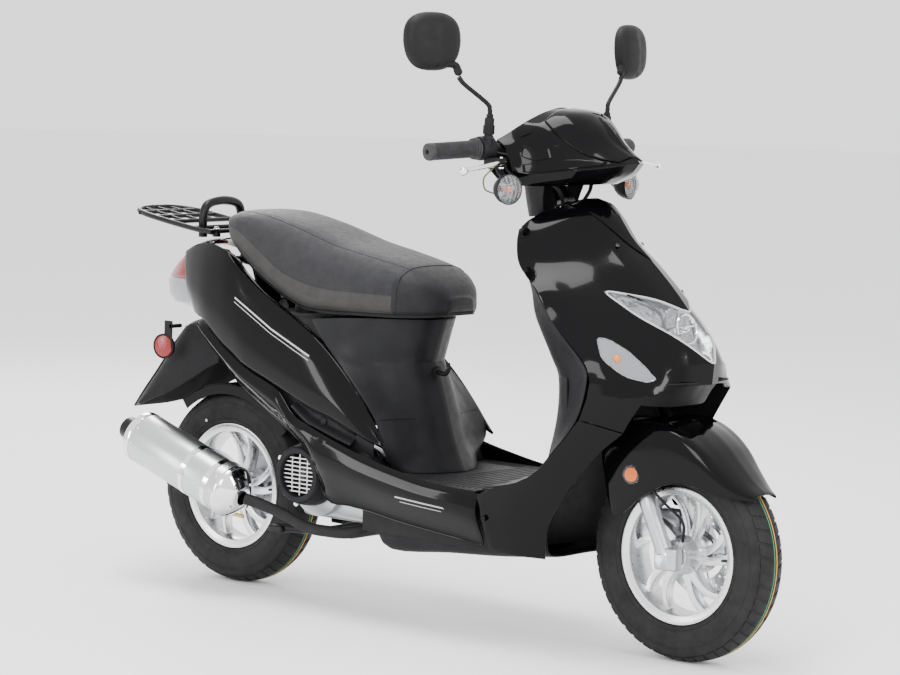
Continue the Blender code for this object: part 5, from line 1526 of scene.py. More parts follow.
def tail_pieces():
    """Tail cover, and the lamp in its red and clear halves."""
    rows = [[(-1.245, 0, .769), (-1.245, -.060, .769), (-1.245, -.106, .7605)],
            [(-1.305, 0, .764), (-1.305, -.055, .762), (-1.305, -.096, .752)],
            [(-1.350, 0, .747), (-1.350, -.045, .745), (-1.350, -.080, .736)]]
    piece("tail_top", skin("tail", [surface(rows, 4, 4)], (0, 0, 1)), "gloss_black", "chassis",
          "tail_cover")
    shells = []
    for grow, top_cut, low_cut in ((0, .672, 1), (-.0012, 0, .6705)):
        sections = []
        for x, half, high, low, lead in ((-1.3545, .083, .738, .608, .030), (-1.385, .072, .728, .600, .016),
                                         (-1.420, .054, .708, .600, .006), (-1.450, .034, .684, .620, 0),
                                         (-1.472, .016, .666, .643, 0)):
            tall = high - low
            half += grow
            ring = [(x, -half, low + .62 * tall), (x, -half * .90, low + .82 * tall),
                    (x, -half * .7, low + .95 * tall), (x, -half * .35, low + .99 * tall),
                    (x, 0, high + grow), (x, half * .35, low + .99 * tall), (x, half * .7, low + .95 * tall),
                    (x, half * .90, low + .82 * tall), (x, half, low + .62 * tall),
                    (x + .5 * lead, half, low + .35 * tall), (x + lead, half * .98, low + .14 * tall),
                    (x + .7 * lead, half * .5, low + .03 * tall), (x + .4 * lead, 0, low - grow),
                    (x + .7 * lead, -half * .5, low + .03 * tall), (x + lead, -half * .98, low + .14 * tall),
                    (x + .5 * lead, -half, low + .35 * tall)]
            sections.append(ring)
        body = loft(sections)
        keep = block((-1.49, -.2, top_cut if grow == 0 else .55), (-1.30, .2, .80 if grow == 0 else low_cut))
        shells.append(common(body, keep))
    piece("tail_lamp_red", bevelled(shells[0], .0012, 2), "red_lens", "chassis", "tail_lamp")
    piece("tail_lamp_clear", bevelled(shells[1], .0012, 2), "lens_ribs", "chassis")


def rear_flap():
    """Ribbed flap and the two red reflectors beside it."""
    rows = [[(-1.235, 0, .560), (-1.235, -.050, .558), (-1.240, -.078, .545), (-1.243, -.084, .495)],
            [(-1.310, 0, .572), (-1.300, -.050, .568), (-1.285, -.080, .556), (-1.275, -.085, .480)],
            [(-1.385, 0, .575), (-1.365, -.050, .570), (-1.337, -.081, .558), (-1.305, -.086, .462)],
            [(-1.432, 0, .525), (-1.412, -.050, .520), (-1.380, -.081, .512), (-1.350, -.086, .438)],
            [(-1.478, 0, .468), (-1.455, -.050, .466), (-1.420, -.080, .464), (-1.398, -.085, .415)],
            [(-1.530, 0, .412), (-1.500, -.050, .414), (-1.460, -.080, .418), (-1.445, -.084, .396)],
            [(-1.575, 0, .362), (-1.538, -.050, .368), (-1.497, -.080, .380), (-1.490, -.082, .378)]]
    flap = skin("flap", [surface(rows, 4, 4)], (-.3, 0, 1), .0025, True, .0007)
    piece("mud_flap", flap, "flap_plastic", "chassis", "rear_flap")
    ribs = []
    for y in (-.052, 0, .052):
        route = [(-1.392 + abs(y) * .35, y, .563), (-1.438 + abs(y) * .35, y, .512),
                 (-1.484 + abs(y) * .4, y, .458), (-1.534 + abs(y) * .5, y, .405),
                 (-1.568 + abs(y) * .6, y, .368)]
        ribs.append(tube(route, .0024, 4, 8))
    piece("mud_flap_ribs", merged(*ribs), "flap_plastic", "chassis")
    for side, label, _ in SIDES:
        arm = block((-1.386, side * .1105 - .0015, .516), (-1.362, side * .1105 + .0015, .578), .001)
        foot = rod((-1.366, side * .080, .566), (-1.366, side * .112, .566), .0045, 12)
        rim = turned([(0, -.004), (.0270, -.004), (.0280, -.001), (.0280, .004), (.0255, .0046),
                      (.0250, .002), (0, .002)], 40, about((-1.386, side * .1105, .520), (.15, side, 0)))
        lens = turned([(0, .0062), (.0150, .0058), (.0235, .0044), (.0248, .0022), (0, .0022)], 40,
                      about((-1.386, side * .1105, .520), (.15, side, 0)))
        piece("reflector_mount_" + label, merged(arm, foot, rim), "matte_black", "chassis")
        piece("reflector_red_" + label, lens, "red_lens", "chassis")


def belly_pan():
    """Pan under the floor and its upright sides."""
    rows = []
    for x, z in ((-.265, .184), (-.400, .168), (-.550, .157), (-.700, .145), (-.734, .185)):
        rows.append([(x, 0, z), (x, -.080, z), (x, -.112, z + .008), (x, -.122, z + .030),
                     (x, -.128, z + .062)])
    piece("belly", skin("belly", [surface(rows, 4, 4)], (0, 0, -1)), "satin_plastic", "chassis",
          "belly_pan")
    inner = []
    for side in (-1, 1):
        inner.append(block((-.760, side * .130 - .002, .185), (-.372, side * .130 + .002, .300), .001))
    piece("belly_sides", merged(*inner), "matte_black", "chassis")


def inner_fillers():
    """Dark inner panels that close the joints between the outer covers."""
    for side, label, flip in SIDES:
        rows = []
        for x, low, high in ((-.700, .340, .392), (-.770, .358, .418), (-.840, .378, .440),
                             (-.900, .400, .462), (-.965, .440, .485), (-1.060, .478, .515),
                             (-1.150, .520, .555), (-1.235, .565, .605)):
            y = .168 - .050 * max(0.0, (-x - .90) / .335) ** 1.3
            rows.append([(x, side * y, high), (x, side * (y + .0015), (low + high) / 2),
                         (x, side * y, low)])
        filler = skin("filler", [surface(rows, 4, 4)], (0, side, 0), .002, False, 0)
        piece("side_filler_" + label, filler, "satin_plastic", "chassis")
        rows = []
        for x, y, top, _, _, _ in BODY_STATIONS[4:11]:
            rows.append([(x, side * (y - .003), top - .0035), (x, side * (y - .018), top - .0060),
                         (x, side * (y - .034), top - .0120)])
        shelf = skin("shelf", [surface(rows, 4, 4)], (0, 0, 1), .002, False, 0)
        piece("seat_shelf_" + label, shelf, "gloss_black", "chassis")
    plate = [[(x, 0, z), (x, -half * .5, z), (x, -half, z + .002)]
             for x, z, half in ((.036, .5640, .070), (-.010, .5600, .118), (-.055, .5580, .150),
                                (-.066, .5590, .155))]
    for side, label, flip in SIDES:
        rows = [[Vector(p) * flip for p in row] for row in (
            ((-.012, -.139, .540), (-.060, -.132, .543), (-.110, -.126, .546)),
            ((-.047, -.144, .490), (-.085, -.137, .495), (-.125, -.131, .500)),
            ((-.112, -.154, .420), (-.140, -.147, .425), (-.170, -.140, .430)))]
        arch = skin("arch", [surface(rows, 4, 4)], (0, -side, 0), .002, False, 0)
        piece("wheel_arch_" + label, arch, "matte_black", "chassis")
    valance = [[(.020, 0, .562), (.012, -.060, .561), (-.020, -.115, .556), (-.050, -.140, .550)],
               [(.004, 0, .543), (-.002, -.058, .543), (-.032, -.110, .541), (-.060, -.135, .538)],
               [(-.012, 0, .514), (-.018, -.055, .514), (-.045, -.105, .518), (-.070, -.130, .522)]]
    front = skin("valance", [surface(valance, 4, 4)], (1, 0, 0), .002, True, 0)
    piece("apron_valance", front, "matte_black", "chassis")
    under = skin("under", [surface(plate, 4, 4)], (0, 0, -1), .002, True, 0)
    piece("apron_underside", under, "matte_black", "chassis")


inner_fillers()
lower_apron()
leg_shield()
side_skirts()
rear_body()
lower_side_panels()
tail_pieces()
rear_flap()
belly_pan()


# ---------------------------------------------------------------- floor, pillar and rack
PILLAR_ROWS = [
    [(-.653, 0, .634), (-.667, -.045, .634), (-.705, -.085, .634), (-.765, -.118, .633),
     (-.840, -.138, .629), (-.905, -.150, .622)],
    [(-.664, 0, .600), (-.678, -.045, .600), (-.714, -.082, .600), (-.766, -.115, .597),
     (-.820, -.140, .590), (-.862, -.157, .580)],
    [(-.683, 0, .541), (-.696, -.045, .541), (-.730, -.080, .541), (-.768, -.110, .539),
     (-.792, -.138, .537), (-.808, -.161, .534)],
    [(-.662, 0, .490), (-.675, -.045, .490), (-.704, -.082, .490), (-.730, -.112, .488),
     (-.743, -.140, .486), (-.752, -.165, .484)],
    [(-.640, 0, .425), (-.652, -.045, .425), (-.675, -.085, .425), (-.689, -.118, .426),
     (-.695, -.145, .427), (-.698, -.167, .428)],
    [(-.617, 0, .362), (-.631, -.048, .362), (-.654, -.088, .362), (-.667, -.120, .364),
     (-.673, -.148, .368), (-.676, -.168, .372)],
    [(-.592, 0, .3165), (-.607, -.052, .3165), (-.634, -.094, .3165), (-.655, -.115, .3165),
     (-.668, -.1225, .3165), (-.685, -.1235, .3165)],
]


def seat_pillar():
    """Pillar under the seat, its seam and its hook."""
    shell = skin("pillar", [surface(PILLAR_ROWS, 5, 5, (), (2,))], (1, 0, 0), .003, True, .0008)
    face = face_of(shell)
    piece("pillar", shell, "pillar_plastic", "chassis", "seat_pillar")
    lines = []
    for side in (-1, 1):
        route = []
        for i in range(13):
            y = side * (.070 + .0075 * i)
            hit, _ = face.along((-.3, y, .4265), (-1, 0, 0))
            if hit is not None:
                route.append(hit)
        lines.append(tube(route, .0010, 1, 8))
    piece("pillar_seam", merged(*lines), "matte_black", "chassis")
    hook_at, _ = face.along((-.3, 0, .520), (-1, 0, 0))
    plate = rod(hook_at + Vector((-.002, 0, 0)), hook_at + Vector((.003, 0, 0)), .013, 28, None, .0012)
    arm = swept([hook_at, hook_at + Vector((.020, 0, -.002)), hook_at + Vector((.030, 0, .008)),
                 hook_at + Vector((.028, 0, .022))], [(.0055, .0055), (.005, .005), (.0045, .0045)], 6, 16)
    piece("pillar_hook", merged(plate, arm), "matte_black", "chassis")


def floorboard():
    """Deck, foot humps and the ridges of the mat."""
    outline = [(-.400, .190), (-.440, .194), (-.720, .194), (-.810, .186), (-.850, .170),
               (-.850, -.170), (-.810, -.186), (-.720, -.194), (-.440, -.194), (-.400, -.190)]
    deck = slab(outline, FLOOR_Z - .004, FLOOR_Z, axes="XY")
    deck = cut(deck, block((-.900, -.1345, .290), (-.722, .1345, .340)))
    parts = [deck]
    for side in (-1, 1):
        sections = []
        for x, tall in ((-.690, .004), (-.699, .030), (-.716, .0465), (-.735, .0490), (-.744, .044)):
            low = FLOOR_Z - .001
            sections.append([(x, side * .126, low), (x, side * .133, low + .70 * tall),
                             (x, side * .146, low + tall), (x, side * .164, low + tall),
                             (x, side * .178, low + .70 * tall), (x, side * .184, low)])
        parts.append(bevelled(loft(sections), .004, 3))
    piece("deck", merged(*parts), "satin_plastic", "chassis", "floorboard")
    ridges = []
    for k in range(9):
        x = -.424 - .0165 * k
        sag = .004 * k / 8
        ridge = tube([(x + .010, -.172, FLOOR_Z), (x, -.150, FLOOR_Z), (x - sag, 0, FLOOR_Z),
                      (x, .150, FLOOR_Z), (x + .010, .172, FLOOR_Z)], .0012, 4, 6)
        ridges.append(ridge)
    for side in (-1, 1):
        for k in range(4):
            y = side * (.148 + .0095 * k)
            ridges.append(tube([(-.566, y, FLOOR_Z), (-.615, y, FLOOR_Z), (-.668, y, FLOOR_Z)],
                               .0012, 4, 6))
    piece("floor_mat_ridges", merged(*ridges), "floor_mat", "chassis")


def rack_and_handle():
    """Tubular rack and grab handle."""
    hoop = tube([(-1.262, -.092, .7815), (-1.330, -.094, .7880), (-1.440, -.094, .8040),
                 (-1.502, -.080, .8130), (-1.530, -.042, .8175), (-1.533, 0, .8180),
                 (-1.530, .042, .8175), (-1.502, .080, .8130), (-1.440, .094, .8040),
                 (-1.330, .094, .7880), (-1.262, .092, .7815)], .006, 5, 16)
    bars_made = [rod((x, -.0925, z), (x, .0925, z), .005, 16)
                 for x, z in ((-1.270, .7823), (-1.322, .7872), (-1.390, .7967), (-1.440, .8040),
                              (-1.490, .8110))]
    wires = [rod((-1.390, y, .7967), (-1.530, y * .8, .8172), .0035, 12) for y in (-.048, 0, .048)]
    feet = [rod((-1.270, side * .070, .7823), (-1.270, side * .070, .7705), .009, 18)
            for side in (-1, 1)]
    handle = tube([(-1.322, -.060, .7665), (-1.322, -.060, .812), (-1.322, -.046, .838),
                   (-1.322, 0, .846), (-1.322, .046, .838), (-1.322, .060, .812),
                   (-1.322, .060, .7665)], .0100, 6, 20)
    piece("rack", merged(hoop, *bars_made, *wires, *feet, handle), "black_paint", "chassis",
          "luggage_rack")
    bolts = [bolt((-1.270, side * .070, .7882), (0, 0, 1), .0052, .004) for side in (-1, 1)]
    piece("rack_bolts", merged(*bolts), "chrome", "chassis")


# ---------------------------------------------------------------- seat
SEAT_STATIONS = [  # x, half width, top z, bottom z, height of the side seam
    (-.617, .046, .686, .652, .668), (-.632, .072, .708, .649, .677), (-.660, .100, .729, .647, .682),
    (-.705, .121, .748, .645, .685), (-.800, .135, .768, .643, .686), (-.890, .138, .785, .641, .688),
    (-.950, .137, .801, .644, .697), (-1.015, .134, .818, .666, .716), (-1.095, .128, .832, .704, .760),
    (-1.150, .120, .836, .740, .789), (-1.195, .104, .834, .770, .801), (-1.234, .070, .822, .797, .809),
]
SEAM_RING = 3
NOSE_X = -.700


def seat_ring(x, half, top, low, seam):
    """Closed ring round the cushion; entry SEAM_RING lies on the side seam."""
    above = top - seam
    right = [(-half * .90, low + .0005), (-half * .985, low + .08 * (top - low)),
             (-half, .5 * (low + seam)), (-half * .985, seam), (-half * .992, seam + .10 * above),
             (-half * .955, seam + .42 * above), (-half * .84, seam + .72 * above),
             (-half * .66, seam + .885 * above), (-half * .62, seam + .900 * above),
             (-half * .58, seam + .935 * above), (-half * .32, seam + .985 * above)]
    ring = right + [(0, top)] + [(-y, z) for y, z in reversed(right)] + [(0, low + .0005)]
    return [Vector((x, y, z)) for y, z in ring]


def seat():
    """Padded seat with a ribbon of stitches along each seam."""
    rings = [seat_ring(*station) for station in SEAT_STATIONS]
    lines = [spline([ring[j] for ring in rings], 6) for j in range(len(rings[0]))]
    fine = [[line[i] for line in lines] for i in range(len(lines[0]))]
    first, last = fine[0], fine[-1]
    for depth, scale in ((.0035, .90), (.0055, .70)):
        middle = sum(first, Vector()) / len(first)
        fine.insert(0, [middle + (p - middle) * scale + Vector((depth, 0, 0)) for p in first])
        middle = sum(last, Vector()) / len(last)
        fine.append([middle + (p - middle) * scale - Vector((depth, 0, 0)) for p in last])
    cushion = piece("seat_pad", loft(fine), "vinyl", "seat", "seat_cushion", 60)
    cushion.data.materials.append(MAT["vinyl_band"])
    cushion.data.materials.append(MAT["vinyl_smooth"])
    stations = sorted((x, seam) for x, _, _, _, seam in SEAT_STATIONS)
    for polygon in cushion.data.polygons:
        at = polygon.center - TO_FRAME.translation
        seam = stations[0][1]
        for (x0, z0), (x1, z1) in zip(stations, stations[1:]):
            if x0 <= at.x <= x1:
                seam = z0 + (z1 - z0) * (at.x - x0) / (x1 - x0)
        if at.x > stations[-1][0]:
            seam = stations[-1][1]
        if at.x > NOSE_X:
            polygon.material_index = 2
        elif at.z < seam - .0006:
            polygon.material_index = 1
    threads = []
    for side in (-1, 1):
        for ring_index, lift in ((SEAM_RING, .0006), (8, .0003)):
            line = lines[ring_index] if side < 0 else [Vector((p.x, -p.y, p.z)) for p in lines[ring_index]]
            route = [p for p in line if p.x < NOSE_X + .01]
            start = None
            for a, b in zip(route, route[1:]):
                steps = max(1, int((b - a).length / .0032))
                for k in range(steps):
                    point = a.lerp(b, k / steps) + Vector((0, side * lift, lift))
                    if start is None:
                        start = point
                    elif (point - start).length > .0044:
                        threads.append(rod(start, point, .0006, 6))
                        start = None
    across = []
    ring = fine[[i for i, r in enumerate(fine) if r[11].x > NOSE_X][-1]]
    across.append(tube([p + Vector((0, 0, .0002)) for p in ring[1:22]], .0010, 2, 8))
    piece("seat_stitches", merged(*threads), "thread", "seat")
    piece("seat_nose_seam", merged(*across), "vinyl_smooth", "seat")
    welt = []
    for side in (-1, 1):
        line = [Vector((p.x, side * abs(p.y), p.z)) for p in lines[0]]
        welt.append(tube(line, .0022, 1, 8))
    piece("seat_welt", merged(*welt), "matte_black", "seat")


seat_pillar()
floorboard()
rack_and_handle()
seat()


# ---------------------------------------------------------------- fender, fork and wheels
def front_fender():
    """Fender with its amber side reflectors."""
    rows = []
    for x, z, half, low_x, low_z in (
            (-.150, .464, .098, -.146, .398), (-.085, .486, .099, -.112, .292),
            (-.020, .490, .098, -.040, .338), (.036, .476, .091, .024, .369),
            (.083, .448, .082, .074, .366), (.122, .411, .070, .114, .354),
            (.157, .378, .054, .152, .348), (.186, .358, .034, .184, .346)):
        drop = min(.022, .5 * (z - low_z))
        rows.append([(x, 0, z), (x, -half * .6, z - .3 * drop), (x, -half, z - drop),
                     (low_x, -half - .003, low_z)])
    shell = skin("fender", [surface(rows, 6, 5)], (.2, 0, 1), .0028, True, .0008)
    leg_holes = [rod((leg_x(.28), side * LEG_Y, .28), (leg_x(.60), side * LEG_Y, .60), .0195, 32)
                 for side in (-1, 1)]
    shell = cut(shell, *leg_holes)
    piece("fender", shell, "gloss_black", "fork", "front_fender")
    bridge = block((-.148, -.030, .4590), (-.125, .030, .4800), .003)
    piece("fender_bridge", bridge, "black_paint", "fork")
    for side, label, _ in SIDES:
        place = about((-.070, side * .1000, .377), (.15, side, .05))
        bezel = turned([(0, -.002), (.0190, -.002), (.0200, 0), (.0200, .0042), (.0150, .0052),
                        (.0145, .0020), (0, .0020)], 8, place)
        disc = turned([(0, .0068), (.0100, .0064), (.0142, .0052), (.0145, .0022), (0, .0022)], 36, place)
        piece("fender_reflector_rim_" + label, bezel, "clear_lens", "fork")
        piece("fender_reflector_" + label, disc, "amber", "fork")


def fork_sliders():
    """Fork sliders, dust seals, axle nuts and speedometer cable."""
    for side, label, _ in SIDES:
        low, high = .2000, .3350
        foot_at = Vector((leg_x(low), side * LEG_Y, low))
        axis = (Vector((leg_x(high), side * LEG_Y, high)) - foot_at).normalized()
        tall = (high - low) / axis.z
        leg = turned([(.0002, 0), (.0135, .0002), (.0165, .004), (.0178, .012), (.0172, .030),
                      (.0168, .100), (.0182, .106), (.0184, tall - .003), (.0168, tall),
                      (.0136, tall), (.0136, .060), (.0002, .060)], 36, about(foot_at, axis))
        foot = block((-.020, side * LEG_Y - .0135, .192), (.034, side * LEG_Y + .0135, .238), .006, None, 3)
        parts = [leg, foot]
        if side < 0:
            parts.append(rod((0, .0540, WHEEL_R), (0, -.0950, WHEEL_R), .0060, 24))
            parts.append(turned([(0, -.0520), (.0255, -.0520), (.0260, -.0530), (.0260, -.0625),
                                 (.0250, -.0640), (0, -.0640)], 40, about_y(0, 0, WHEEL_R)))
            parts.append(rod((.020, -.0580, WHEEL_R + .018), (.030, -.0580, WHEEL_R + .034), .0060, 20))
        piece("slider_" + label, merged(*parts), "cast_alloy", "fork", "fork_slider_" + label)
        nut = bolt((0, side * .0885, WHEEL_R), (0, side, 0), .0105, .0070)
        piece("axle_nut_" + label, nut, "chrome", "fork")
        wiper = turned([(.0135, 0), (.0178, 0), (.0182, .002), (.0176, .008), (.0150, .010),
                        (.0135, .010)], 32, about((leg_x(.3353), side * LEG_Y, .3353), axis))
        piece("slider_dust_seal_" + label, wiper, "rubber", "fork")
    cable = tube([(.030, -.0580, WHEEL_R + .034), (.034, -.066, .290), (.006, -.094, .330),
                  (-.030, -.0955, .360), (-.060, -.0930, .400)], .0028, 8, 12)
    piece("speedometer_cable", cable, "matte_black", "fork")


def column():
    """Stem, lower yoke and fixed fork tubes, turned and eased."""
    stem = rod((steer_x(.532), 0, .532), (steer_x(.950), 0, .950), .0150, 32, None, .001)
    yoke = block((-.210, -.096, .5280), (-.121, .096, .5570), .008, None, 3)
    tubes = [rod((leg_x(.5655), side * LEG_Y, .5655), (leg_x(.300), side * LEG_Y, .300), .0130, 32)
             for side in (-1, 1)]
    clamp = block((steer_x(.955) - .022, -.026, .935), (steer_x(.955) + .022, .026, .9620), .005, None, 3)
    piece("fork_column", merged(stem, yoke, *tubes, clamp), "black_paint", "steering",
          "steering_column")


def swirl_spokes(x, near, far):
    """Five pairs of curved spokes, each pair tapering outwards and leaning one way."""
    made = []
    for k in range(5):
        for lean, offset in ((.34, -.13), (.34, .20)):
            sides = ([], [])
            for step in range(9):
                t = step / 8
                radius = .031 + t * .0955
                angle = 2 * math.pi * k / 5 + offset * (.9 + .55 * t) + lean * t * t
                half = (.0070 + .0035 * (1 - t) ** 2 + .0030 * t ** 4) / radius
                for sign, line in ((-1, sides[0]), (1, sides[1])):
                    a = angle + sign * half
                    line.append((x + radius * math.cos(a), WHEEL_R + radius * math.sin(a)))
            spoke = slab(sides[0] + sides[1][::-1], near, far, axes="XZ")
            made.append(bevelled(spoke, .0022, 2, 40))
    return made


def wheel(prefix, x, owner):
    """Cast wheel with five pairs of swirled spokes."""
    place = about_y(x, 0, WHEEL_R)
    rim = turned([(.1262, -.0300), (.1255, .0), (.1262, .0300), (.1290, .0322), (.1368, .0334),
                  (RIM_FLANGE_R, .0345), (RIM_FLANGE_R, .0372), (.1372, .0378), (.1300, .0362),
                  (.1225, .0335), (.1205, .0290), (.1195, 0), (.1205, -.0290), (.1225, -.0335),
                  (.1300, -.0362), (.1372, -.0378), (RIM_FLANGE_R, -.0372), (RIM_FLANGE_R, -.0345),
                  (.1368, -.0334), (.1290, -.0322)], 72, place)
    hub = turned([(.0082, -.0498), (.0280, -.0498), (.0310, -.0480), (.0325, -.0430), (.0335, -.0250),
                  (.0400, -.0150), (.0400, .0150), (.0335, .0250), (.0335, .0440), (.0300, .0448),
                  (.0082, .0448)], 48, place)
    piece("wheel_" + prefix, merged(rim, hub, *swirl_spokes(x, -.0125, .0125)), "wheel_alloy", owner,
          prefix + "_rim", 38)
    valve = rod((x + .1190, -.010, WHEEL_R), (x + .0960, -.0170, WHEEL_R), .0028, 14)
    piece("valve_" + prefix, valve, "rubber", owner)


def tyre(prefix, x, owner):
    """Tyre with tread blocks, coloured lines and a pale dot."""
    place = about_y(x, 0, WHEEL_R)
    half = [(.1300, .0328), (.1385, .0332), (.1405, .0352), (.1420, .0388), (.1480, .0420),
            (.1560, .0443), (.1680, .0458), (.1800, .0449), (.1900, .0430), (.1975, .0402),
            (.2010, .0385), (.2028, .0360), (.2088, .0270), (.2128, .0160), (.2150, .0060)]
    profile = half + [(.2156, 0)] + [(r, -y) for r, y in reversed(half)]
    piece("tyre_" + prefix, turned(profile, 128, place), "tyre_rubber", owner, prefix + "_tyre")
    blocks = []
    count = 48
    for k in range(count):
        for side in (-1, 1):
            a = 2 * math.pi * (k + (.5 if side > 0 else 0)) / count
            grid = []
            for v in (0, .5, 1):
                row = []
                for u in range(7):
                    y = .0052 + .0305 * u / 6
                    r = spline_radius(y) + (.0009 if 0 < u < 6 else .0002)
                    lean = .050 * (u / 6) ** 1.4
                    angle = a + lean + (v - .5) * .098
                    row.append(Vector((x + r * math.cos(angle), side * y, WHEEL_R + r * math.sin(angle))))
                grid.append(row)
            blocks.append(thickened(sheet_mesh("tread", [grid], (math.cos(a), 0, math.sin(a))), .0016))
    piece("tread_" + prefix, merged(*blocks), "tyre_rubber", owner, angle=20)
    for name, y, colour in (("a", .0036, "tan_line"), ("b", -.0036, "green_line")):
        r = spline_radius(abs(y)) + .0001
        ring = turned([(r - .0006, y - .0011), (r + .0003, y - .0010), (r + .0003, y + .0010),
                       (r - .0006, y + .0011)], 128, place)
        piece("tyre_line_%s_%s" % (prefix, name), ring, colour, owner)
    lettering = []
    for side in (-1, 1):
        for r, y in ((.1500, .0429), (.1855, .0441)):
            lettering.append(turned([(r - .0006, side * (y - .001)), (r, side * (y + .0004)),
                                     (r + .0006, side * (y - .001))], 128, place))
    piece("sidewall_rings_" + prefix, merged(*lettering), "tyre_rubber", owner)
    a = math.radians(118)
    dot = rod((x + .158 * math.cos(a), -.0442, WHEEL_R + .158 * math.sin(a)),
              (x + .158 * math.cos(a), -.0454, WHEEL_R + .158 * math.sin(a)), .0032, 18)
    piece("tyre_dot_" + prefix, dot, "pale_dot", owner)


def spline_radius(y):
    """Radius of the tread crown at distance y from the middle."""
    return .2158 - 8.4 * y * y


def disc_and_caliper():
    """Drilled disc on its spider, and the caliper."""
    place = about_y(0, 0, WHEEL_R)
    disc = turned([(.0560, .0475), (.0920, .0475), (.0920, .0515), (.0560, .0515)], 96, place)
    holes = []
    for ring_at, shift in ((.064, 0), (.0745, .13), (.085, .26)):
        for k in range(16):
            a = 2 * math.pi * k / 16 + shift
            holes.append(rod((ring_at * math.cos(a), .044, WHEEL_R + ring_at * math.sin(a)),
                             (ring_at * math.cos(a), .056, WHEEL_R + ring_at * math.sin(a)), .0032, 12))
    spider = turned([(.0300, .0476), (.0420, .0476), (.0420, .0514), (.0300, .0514)], 48, place)
    arms = []
    for k in range(5):
        a = 2 * math.pi * k / 5
        arms.append(rod((.038 * math.cos(a), .0495, WHEEL_R + .038 * math.sin(a)),
                        (.060 * math.cos(a), .0495, WHEEL_R + .060 * math.sin(a)), .0019, 10))
    piece("disc", merged(cut(disc, *holes), spider, *arms), "disc_steel", "front_wheel", "brake_disc")
    caliper = block((-.112, .0400, .236), (-.056, .0745, .292), .007, None, 3)
    lug = block((-.070, .0560, .256), (-.026, .0745, .284), .003)
    slot = rod((0, .0455, WHEEL_R), (0, .0525, WHEEL_R), .0965, 48)
    keep_off = rod((leg_x(.200), LEG_Y, .200), (leg_x(.345), LEG_Y, .345), .0189, 32)
    piece("caliper", cut(fused(caliper, lug), slot, keep_off), "cast_alloy", "fork", "brake_caliper")
    pins = [bolt((-.084, .0746, z), (0, 1, 0), .0048, .0035) for z in (.250, .278)]
    piece("caliper_bolts", merged(*pins), "dark_steel", "fork")


front_fender()
fork_sliders()
column()
for wheel_prefix, wheel_x, wheel_body in (("front", 0.0, "front_wheel"), ("rear", -WHEELBASE, "rear_wheel")):
    wheel(wheel_prefix, wheel_x, wheel_body)
    tyre(wheel_prefix, wheel_x, wheel_body)
disc_and_caliper()


# ---------------------------------------------------------------- swing unit
FAN_CENTRE = Vector((-.937, -.0958, .283))
CAN_FRONT = Vector((-1.075, -.170, .2190))
CAN_WAY = (Vector((-1.392, -.170, .3230)) - CAN_FRONT).normalized()
CAN_LENGTH = .334


def engine_case():
    """Crankcase, barrel fins and drive case."""
    crank = rod((-.930, -.095, .262), (-.930, .060, .262), .072, 56, None, .004)
    sump = block((-.985, -.080, .186), (-.800, .050, .250), .012, None, 3)
    barrel = block((-.905, -.060, .215), (-.792, .045, .288), .010, None, 3)
    neck = block((-.800, -.028, .250), (-.775, .028, .280), .004)
    lug = rod((ENGINE_PIVOT.x, -.030, ENGINE_PIVOT.z), (ENGINE_PIVOT.x, .030, ENGINE_PIVOT.z),
              .020, 36, None, .001)
    outline = arc(-.930, .262, .083, -60, 105, 16) + arc(-WHEELBASE, WHEEL_R, .075, 105, 290, 18)
    drive = bevelled(slab(outline, .0620, .1260, axes="XZ"), .008, 3, 40)
    bridge = block((-.990, .045, .215), (-.880, .070, .310), .004)
    final_drive = rod((-WHEELBASE, .0575, WHEEL_R), (-WHEELBASE, .0640, WHEEL_R), .060, 40)
    axle = rod((-WHEELBASE, -.0720, WHEEL_R), (-WHEELBASE, .0640, WHEEL_R), .0065, 24)
    ear = block((SHOCK.x - .018, SHOCK.y - .014, .268), (SHOCK.x + .018, SHOCK.y + .014, .3120), .004)
    unit = merged(crank, sump, barrel, neck, lug, drive, bridge, final_drive, axle, ear)
    piece("crankcase", unit, "cast_alloy", "engine_unit", "engine_case")
    nut = bolt((-WHEELBASE, -.0545, WHEEL_R), (0, -1, 0), .0115, .010)
    piece("rear_axle_nut", nut, "chrome", "engine_unit")
    fins = []
    for k in range(7):
        x = -.886 + .0145 * k
        fins.append(block((x, -.0640, .212), (x + .0042, .0480, .291), .0012))
    piece("cylinder_fins", merged(*fins), "cast_alloy", "engine_unit")
    bolts = []
    for x, z in ((-.985, .325), (-.905, .330), (-1.060, .310), (-1.160, .296), (-1.050, .205),
                 (-1.150, .178), (-.950, .188), (-1.235, .165)):
        bolts.append(bolt((x, .1262, z), (0, 1, 0), .0046, .0036, False))
    cover = turned([(0, .0038), (.018, .0036), (.022, .0020), (.0225, 0)], 40,
                   about((-1.000, .1262, .245), (0, 1, 0)))
    piece("drive_case_bolts", merged(*bolts, cover), "dark_steel", "engine_unit")
    adjuster = rod((-.770 - .480, -.020, .150), (-.770 - .455, -.012, .146), .0045, 16)
    piece("brake_adjuster", adjuster, "brass_zinc", "engine_unit")
    arm = block((-1.262, .0290, .136), (-1.246, .0340, .192), .002)
    piece("brake_arm", arm, "dark_steel", "engine_unit")


